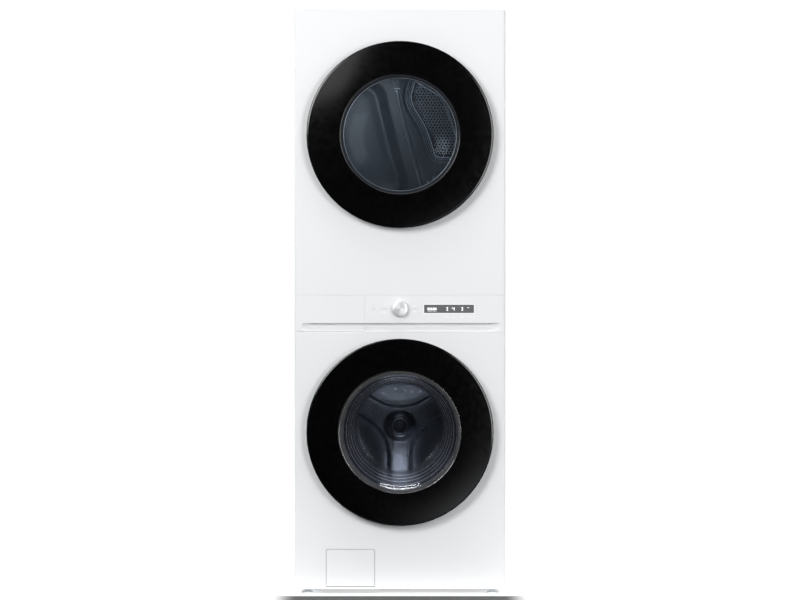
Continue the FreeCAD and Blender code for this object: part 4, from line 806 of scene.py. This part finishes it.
def starEdges(s):
    # fine raised lines along the arms' sides and round the fillets between them, lighter than the steel as a painted
    # highlight
    slant = math.pi / 3
    centre = (s["halfArm"] + s["fillet"]) / math.sin(slant)
    tangent = (s["halfArm"] + s["fillet"]) / math.tan(slant)
    side = [(t * math.cos(slant) + s["halfArm"] * math.sin(slant), t * math.sin(slant) - s["halfArm"] * math.cos(slant))
            for t in (262 * mm, 200 * mm, 150 * mm, tangent)]
    turns = np.linspace(math.pi - math.pi / 6, math.pi + math.pi / 6, 26)[1:-1]
    arc = [(centre + s["fillet"] * math.cos(a), s["fillet"] * math.sin(a)) for a in turns]
    path = side + arc + [(u, -v) for u, v in reversed(side)]
    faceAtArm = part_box("washer_drum_back")[0].y + s["armFace"]
    for i in range(3):
        lean = 2 * math.pi * i / 3
        line = np.array([(washerAxis.x + u * math.sin(lean) + v * math.cos(lean),
                          washerAxis.z + u * math.cos(lean) - v * math.sin(lean)) for u, v in path])
        bead("starEdge" + str(i), line, 0.9 * mm, faceAtArm + 0.6 * mm, softPaintedHighlight, body="washer_drum")


starEdges(star)


def ventRings(s):
    # a raised lip round every hole of the grille, light in tone as a painted highlight
    grille = bpy.data.objects["dryer_vent_grille"]
    points = np.array([grille.matrix_world @ v.co for v in grille.data.vertices])
    front = points[points[:, 1] < ventLow.y + 0.2 * mm]
    rowStep = s["pitch"] * math.sqrt(3) / 2
    verts = []
    faces = []
    for row in range(s["rows"]):
        for column in range(s["columns"]):
            x = s["firstX"] + s["pitch"] * (column + 0.5 * (row % 2))
            z = s["firstZ"] + rowStep * row
            # skip places where the grille has no hole edge to sit on
            reach = np.hypot(front[:, 0] - x, front[:, 2] - z)
            if np.sum(np.abs(reach - s["hole"]) < s["near"]) < s["fewest"]:
                continue
            start = len(verts)
            for i in range(s["turns"]):
                a = 2 * math.pi * i / s["turns"]
                for out, ahead in ((0.05, 0.2), (0.35, 0.95), (0.95, 0.95), (1.25, 0.2)):
                    r = s["hole"] + out * mm
                    verts.append((x + r * math.sin(a), ventLow.y - ahead * mm, z + r * math.cos(a)))
            for i in range(s["turns"]):
                n = (i + 1) % s["turns"]
                for k in range(4):
                    m = (k + 1) % 4
                    faces.append((start + 4 * i + k, start + 4 * n + k, start + 4 * n + m, start + 4 * i + m))
    return addPiece("ventRings", verts, faces, paintedHighlightLip, "cabinet", sharpAngle=60)


ventRings(dict(pitch=11 * mm, hole=3.9 * mm, turns=16, rows=30, columns=20, firstX=36 * mm, firstZ=1446 * mm,
               near=0.15 * mm, fewest=6))


def backWallFixings(s):
    # sensor clip, rib ends and screw heads pressed into the wall
    bars = []
    for x0, x1, z0, z1 in ((-19, 1, 1673, 1675.4), (-19, 1, 1663.5, 1666), (68, 77, 1650, 1653),
                           (-120, -92, 1337, 1339), (-112, -98, 1349, 1351.5), (-131, -129, 1348, 1368),
                           (113, 116, 1361, 1373)):
        mid = np.array([[(x0 + x1) / 2 * mm]]), np.array([[(z0 + z1) / 2 * mm]])
        depth = float(backWallDepth(*mid, s)[0][0, 0])
        bars.append((x0 * mm, x1 * mm, depth - 2.2 * mm, depth + 1.0 * mm, z0 * mm, z1 * mm))
    boxes("wallRibEnds", bars, beadToneAndHighlight, "cabinet", 0.4 * mm)
    for i, (x, z, r) in enumerate(((95, 1356, 3.4), (92, 1347, 2.4), (-106, 1358, 2.6))):
        mid = np.array([[x * mm]]), np.array([[z * mm]])
        y = float(backWallDepth(*mid, s)[0][0, 0])
        lathe("wallScrew" + str(i), [
            (0.2 * mm, y - 1.6 * mm), (0.55 * r * mm, y - 1.4 * mm), (0.6 * r * mm, y - 2.2 * mm),
            (0.9 * r * mm, y - 1.9 * mm), (r * mm, y - 0.9 * mm), (r * mm, y + 0.5 * mm), (0.2 * mm, y + 0.5 * mm)],
            Vector((x * mm, 0, z * mm)), beadToneAndHighlight, "cabinet", turns=24)


backWallFixings(backWall)
satinLine = finish("satinLine", dict(
    tone=(0.46, 0.48, 0.52), toneB=(0.54, 0.56, 0.60), toneScale=30, grainScale=500, rough=(0.30, 0.40), grain=0.02,
    metal=0.7))
# painted reflection: a grey line for the grazing reflection on the black bezel's edge
outerPaintedReflection = finish("outerPaintedReflection", dict(
    tone=(0.035, 0.04, 0.05), toneB=(0.05, 0.055, 0.07), toneScale=30, grainScale=500, rough=(0.25, 0.35), grain=0.02,
    metal=0.2))
roundRing("dryerWindowOuterLine", 192.0 * mm, 0.6 * mm, faceY + 1.6 * mm, dryerAxis, outerPaintedReflection, "dryer_door")
roundRing("dryerWindowInnerLine", 182.0 * mm, 1.0 * mm, faceY + 8.6 * mm, dryerAxis, satinLine, "dryer_door")
lathe("dryerWindowBezel", [
    (191.0 * mm, faceY + 5.4 * mm), (182.6 * mm, faceY + 9.6 * mm), (179.8 * mm, faceY + 20 * mm),
    (181.5 * mm, faceY + 32 * mm), (196 * mm, faceY + 33 * mm), (196 * mm, faceY + 5.4 * mm)],
    dryerAxis, finishes["belt_rubber"], "dryer_door", turns=200)
print("dryer window dressed")

# control band: display digits, marks, power ring

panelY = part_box("control_panel")[0].y
lensLow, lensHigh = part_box("display_lens")
knobMid = middleOf("selector_knob")

# marks on the band, in millimetres: digits as (figure, left, height), bars and prints as (left, low, length, height),
# touches as (middle, height above the floor, half length), power as (x, z)
band = dict(
    digits=(("3", 149.5, 11), ("4", 170.8, 11), ("3", 198, 11)), digitLow=917, digitWide=5.6, digitThick=1.2,
    bars=((88.5, 924, 8, 2.2), (98, 924, 7, 2.2), (106.5, 924, 12, 2.2), (88.5, 920, 30, 2.0),
          (88.5, 915.4, 17, 1.1), (107, 915.4, 11, 1.1), (218, 926, 6, 1.4), (167, 925, 2, 1.4)),
    edge=2.2, prints=((-62, 922, 22, 1.8), (39.5, 922, 17, 1.6), (247, 925, 3, 1.2), (247, 921.5, 3, 1.2)),
    touches=((152.4, 896, 5), (173.7, 895.5, 3.5), (200.5, 896, 4.5), (226, 897.5, 5), (239, 894.5, 2),
             (-51, 912, 9), (47, 932, 6), (47, 913.5, 6)),
    touchHalf=0.8, power=(-85.7, 922.4), powerR=4.0)


def segmentBars(digit, x, z, tall, wide, thick):
    # the lit bars of one seven-bar digit, as (x0, x1, z0, z1)
    lit = {
        "0": "abcdef", "1": "bc", "2": "abged", "3": "abgcd", "4": "fgbc", "5": "afgcd", "6": "afgedc",
        "8": "abcdefg",
    }[digit]
    half = tall / 2
    bars = {
        "a": (x, x + wide, z + tall - thick, z + tall), "g": (x, x + wide, z + half - thick / 2, z + half + thick / 2),
        "d": (x, x + wide, z, z + thick), "f": (x, x + thick, z + half, z + tall),
        "b": (x + wide - thick, x + wide, z + half, z + tall), "e": (x, x + thick, z, z + half),
        "c": (x + wide - thick, x + wide, z, z + half),
    }
    return [bars[k] for k in lit]


def displayMarks(s):
    y0 = lensLow.y - 0.15 * mm
    y1 = lensLow.y + 0.1 * mm
    digits = []
    for digit, x, tall in s["digits"]:
        for x0, x1, z0, z1 in segmentBars(digit, x * mm, s["digitLow"] * mm, tall * mm, s["digitWide"] * mm,
                                          s["digitThick"] * mm):
            digits.append((x0, x1, y0, y1, z0, z1))
    for x, z, long, tall in s["bars"]:
        digits.append((x * mm, (x + long) * mm, y0, y1, z * mm, (z + tall) * mm))
    boxes("displayDigits", digits, digitFinish, "cabinet")
    frameBars = []
    e = s["edge"] * mm
    low, high = lensLow, lensHigh
    for x0, x1, z0, z1 in ((low.x - e, high.x + e, high.z, high.z + e), (low.x - e, high.x + e, low.z - e, low.z),
                           (low.x - e, low.x, low.z, high.z), (high.x, high.x + e, low.z, high.z)):
        frameBars.append((x0, x1, panelY - 0.25 * mm, panelY + 0.1 * mm, z0, z1))
    boxes("displayEdge", frameBars, faintInkPaintedGlow, "cabinet")


def panelMarks(s):
    # printed marks beside the selector and under the display
    y0 = panelY - 0.12 * mm
    y1 = panelY + 0.05 * mm
    marks = []
    for x, z, long, tall in s["prints"]:
        marks.append((x * mm, (x + long) * mm, y0, y1, z * mm, (z + tall) * mm))
    boxes("printedMarks", marks, inkFinish, "cabinet")
    touches = []
    thin = s["touchHalf"]
    for x, z, half in s["touches"]:
        touches.append(((x - half) * mm, (x + half) * mm, y0, y1, (z - thin) * mm, (z + thin) * mm))
    boxes("touchMarks", touches, faintInkPaintedGlow, "cabinet")
    powerCentre = Vector((s["power"][0] * mm, 0, s["power"][1] * mm))
    roundRing("powerRing", s["powerR"] * mm, 0.5 * mm, panelY, powerCentre, inkFinish, "cabinet")


def seamLiners():
    # white strips just behind the seams of the front, so that they read as shallow grooves
    y0 = panelY + 1.3 * mm
    y1 = panelY + 2.3 * mm
    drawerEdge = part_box("drawer_front")[1].x
    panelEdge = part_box("control_panel")[0].x
    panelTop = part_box("control_panel")[1].z
    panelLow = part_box("control_panel")[0].z
    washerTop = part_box("washer_front_panel")[1].z
    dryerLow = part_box("dryer_front_panel")[0].z
    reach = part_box("washer_front_panel")[1].x - 2 * mm
    strips = [
        (drawerEdge + 0.05 * mm, panelEdge - 0.05 * mm, y0, y1, panelLow, panelTop),
        (-reach, reach, y0, y1, panelTop + 0.05 * mm, dryerLow - 0.05 * mm),
        (panelEdge, reach, y0, y1, washerTop + 0.05 * mm, panelLow - 0.05 * mm),
        (-reach, panelEdge, y0, y1, washerTop + 0.05 * mm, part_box("drawer_front")[0].z - 0.6 * mm),
    ]
    boxes("seamLiners", strips, finishes["white_plastic"], "cabinet")


seamLiners()
displayMarks(band)
panelMarks(band)
lathe("knobSeat", [
    (28.6 * mm, panelY + 0.05 * mm), (28.4 * mm, panelY - 0.1 * mm), (27.6 * mm, panelY - 0.5 * mm),
    (20 * mm, panelY - 0.5 * mm), (20 * mm, panelY + 0.05 * mm)],
    knobMid, finishes["white_plastic"], "cabinet", turns=96)
print("control band marked")

# studio

studio = dict(
    wall=(0.93, 0.93, 0.93), dim=(0.12, 0.12, 0.12), dimTo=-0.80, brightFrom=-0.61, wallGlow=0.5, shadeFrom=-0.405,
    shadeTo=-0.47, shadeHalf=0.33, shadeFade=0.12, back=4.5, half=9.0, front=-1.25, top=7.0, bend=1.6, bendSteps=12)


def mathOf(tree, kind, a, b):
    node = tree.nodes.new("ShaderNodeMath")
    node.operation = kind
    for place, value in enumerate((a, b)):
        if isinstance(value, float):
            node.inputs[place].default_value = value
        else:
            tree.links.new(value, node.inputs[place])
    return node.outputs[0]


def directionSpan(tree, axis, low, high, start, end):
    return spread(tree, axis, start, end, low, high, "SMOOTHSTEP")


def sweep(s):
    # floor that curves up into the backdrop
    rows = [(s["front"], 0.0), (s["back"] - s["bend"], 0.0)]
    for i in range(1, s["bendSteps"] + 1):
        a = math.pi / 2 * i / s["bendSteps"]
        rows.append((s["back"] - s["bend"] + s["bend"] * math.sin(a), s["bend"] - s["bend"] * math.cos(a)))
    rows.append((s["back"], s["top"]))
    verts = []
    for y, z in rows:
        verts += [(-s["half"], y, z), (s["half"], y, z)]
    faces = [(2 * i, 2 * i + 1, 2 * i + 3, 2 * i + 2) for i in range(len(rows) - 1)]
    mat, tree, shader = newFinish("studioSweep")
    axes = tree.nodes.new("ShaderNodeSeparateXYZ")
    tree.links.new(patternVector(tree), axes.inputs["Vector"])
    # bright behind and beside the part and dim well ahead of it; along the foot of its front, within its width, a
    # painted shade darkens the floor's colour and glow
    behind = directionSpan(tree, axes.outputs["Y"], s["dimTo"], s["brightFrom"], 0.0, 1.0)
    closeBy = directionSpan(tree, axes.outputs["Y"], s["shadeTo"], s["shadeFrom"], 0.0, 1.0)
    beside = directionSpan(tree, mathOf(tree, "ABSOLUTE", axes.outputs["X"], 0.0), s["shadeHalf"],
                           s["shadeHalf"] + s["shadeFade"], 0.0, 1.0)
    # painted shade: the floor ahead of the cabinet's foot goes dim where both of these masks fall to zero
    share = mathOf(tree, "MINIMUM", behind, mathOf(tree, "MAXIMUM", closeBy, beside))
    even = mathOf(tree, "ADD", share, mathOf(tree, "MULTIPLY", noiseOf(tree, patternVector(tree), 0.4), 0.01))
    tree.links.new(twoTones(tree, even, s["dim"], s["wall"], 0.0, 1.0), shader.inputs["Base Color"])
    shader.inputs["Roughness"].default_value = 0.9
    shader.inputs["Specular IOR Level"].default_value = 0.1
    shader.inputs["Emission Color"].default_value = (1, 1, 1, 1)
    tree.links.new(mathOf(tree, "MULTIPLY", share, s["wallGlow"]), shader.inputs["Emission Strength"])
    piece = addPiece("studioSweep", verts, faces, mat, None)


def softbox(s):
    data = bpy.data.lights.new(s["name"], "AREA")
    data.shape = "RECTANGLE"
    data.size, data.size_y = s["size"]
    data.energy = s["power"]
    data.color = s.get("tint", (1, 1, 1))
    lamp = bpy.data.objects.new(s["name"], data)
    lamp.location = s["place"]
    lamp.rotation_euler = (Vector(s["aim"]) - Vector(s["place"])).to_track_quat("-Z", "Y").to_euler()
    bpy.context.scene.collection.objects.link(lamp)


def studioWorld(s):
    # bright all round, dark ahead of the doors so that their glass stays black,
    # with a dim cool patch low on the right
    world = bpy.data.worlds.new("studio")
    bpy.context.scene.world = world
    world.use_nodes = True
    tree = world.node_tree
    coords = tree.nodes.new("ShaderNodeTexCoord")
    axes = tree.nodes.new("ShaderNodeSeparateXYZ")
    tree.links.new(coords.outputs["Generated"], axes.inputs["Vector"])
    ahead = directionSpan(tree, axes.outputs["Y"], *s["aheadSpan"], s["ahead"], s["sides"])
    low = directionSpan(tree, axes.outputs["Z"], *s["lowSpan"], s["patch"], 0.0)
    right = directionSpan(tree, axes.outputs["X"], *s["rightSpan"], 0.0, 1.0)
    near = directionSpan(tree, axes.outputs["Y"], *s["nearSpan"], 1.0, 0.0)
    patch = mathOf(tree, "MULTIPLY", mathOf(tree, "MULTIPLY", low, right), near)
    total = mathOf(tree, "ADD", ahead, patch)
    light = tree.nodes["Background"]
    light.inputs["Color"].default_value = (0.95, 0.975, 1.0, 1)
    tree.links.new(total, light.inputs["Strength"])


sweep(studio)
studioWorld(dict(ahead=0.004, sides=0.55, patch=1.3, aheadSpan=(-0.90, -0.45), lowSpan=(-0.16, -0.04),
                 rightSpan=(-0.02, 0.14), nearSpan=(-0.97, -0.92)))
coolTint = (0.92, 0.96, 1.0)
for lampSettings in (
    dict(name="keyLeft", place=(-2.9, -5.9, 3.1), aim=(0, -0.3, 1.3), size=(2.4, 2.4), power=224),
    dict(name="fillRight", place=(2.7, -6.1, 1.6), aim=(0, -0.3, 0.95), size=(2.2, 3.0), power=150),
    dict(name="topSoft", place=(0, -0.6, 5.2), aim=(0, 0, 0.5), size=(3.2, 2.6), power=90),
    dict(name="dryerCard", place=(-0.76, -2.9, 2.22), aim=(-0.2, -0.4, 1.75), size=(1.0, 0.8), power=3.4),
    dict(name="dryerDrumLamp", place=(-0.12, -0.24, 1.65), aim=(-0.05, 0.33, 1.57), size=(0.14, 0.07), power=1.45,
         tint=(0.93, 0.97, 1.0)),
    dict(name="washerDrumLamp", place=(0.0, -0.215, 0.70), aim=(0.0, 0.22, 0.58), size=(0.05, 0.03), power=0.06,
         tint=coolTint),
    dict(name="washerArmLamp", place=(0.0, -0.05, 0.36), aim=(0.0, 0.22, 0.39), size=(0.035, 0.10), power=0.10,
         tint=coolTint),
    dict(name="bowlGlowTop", place=(0.0, -0.392, 0.672), aim=(0.0, -0.380, 0.71), size=(0.09, 0.010), power=0.05,
         tint=coolTint),
    dict(name="bowlGlowLow", place=(0.0, -0.350, 0.405), aim=(0.0, -0.325, 0.345), size=(0.09, 0.014), power=0.15,
         tint=coolTint),
):
    softbox(lampSettings)

viewSettings = dict(distance=12.0, wide=2.5886, height=0.9514, sensor=36, farthest=60)
camera = bpy.data.cameras.new("productCamera")
camera.sensor_width = viewSettings["sensor"]
camera.lens = camera.sensor_width * viewSettings["distance"] / viewSettings["wide"]
camera.clip_end = viewSettings["farthest"]
cameraBody = bpy.data.objects.new("productCamera", camera)
cameraBody.location = (0, frontY - viewSettings["distance"], viewSettings["height"])
cameraBody.rotation_euler = (math.radians(90), 0, 0)
bpy.context.scene.collection.objects.link(cameraBody)
bpy.context.scene.camera = cameraBody
bpy.context.scene.view_settings.view_transform = "Standard"
print("studio ready")
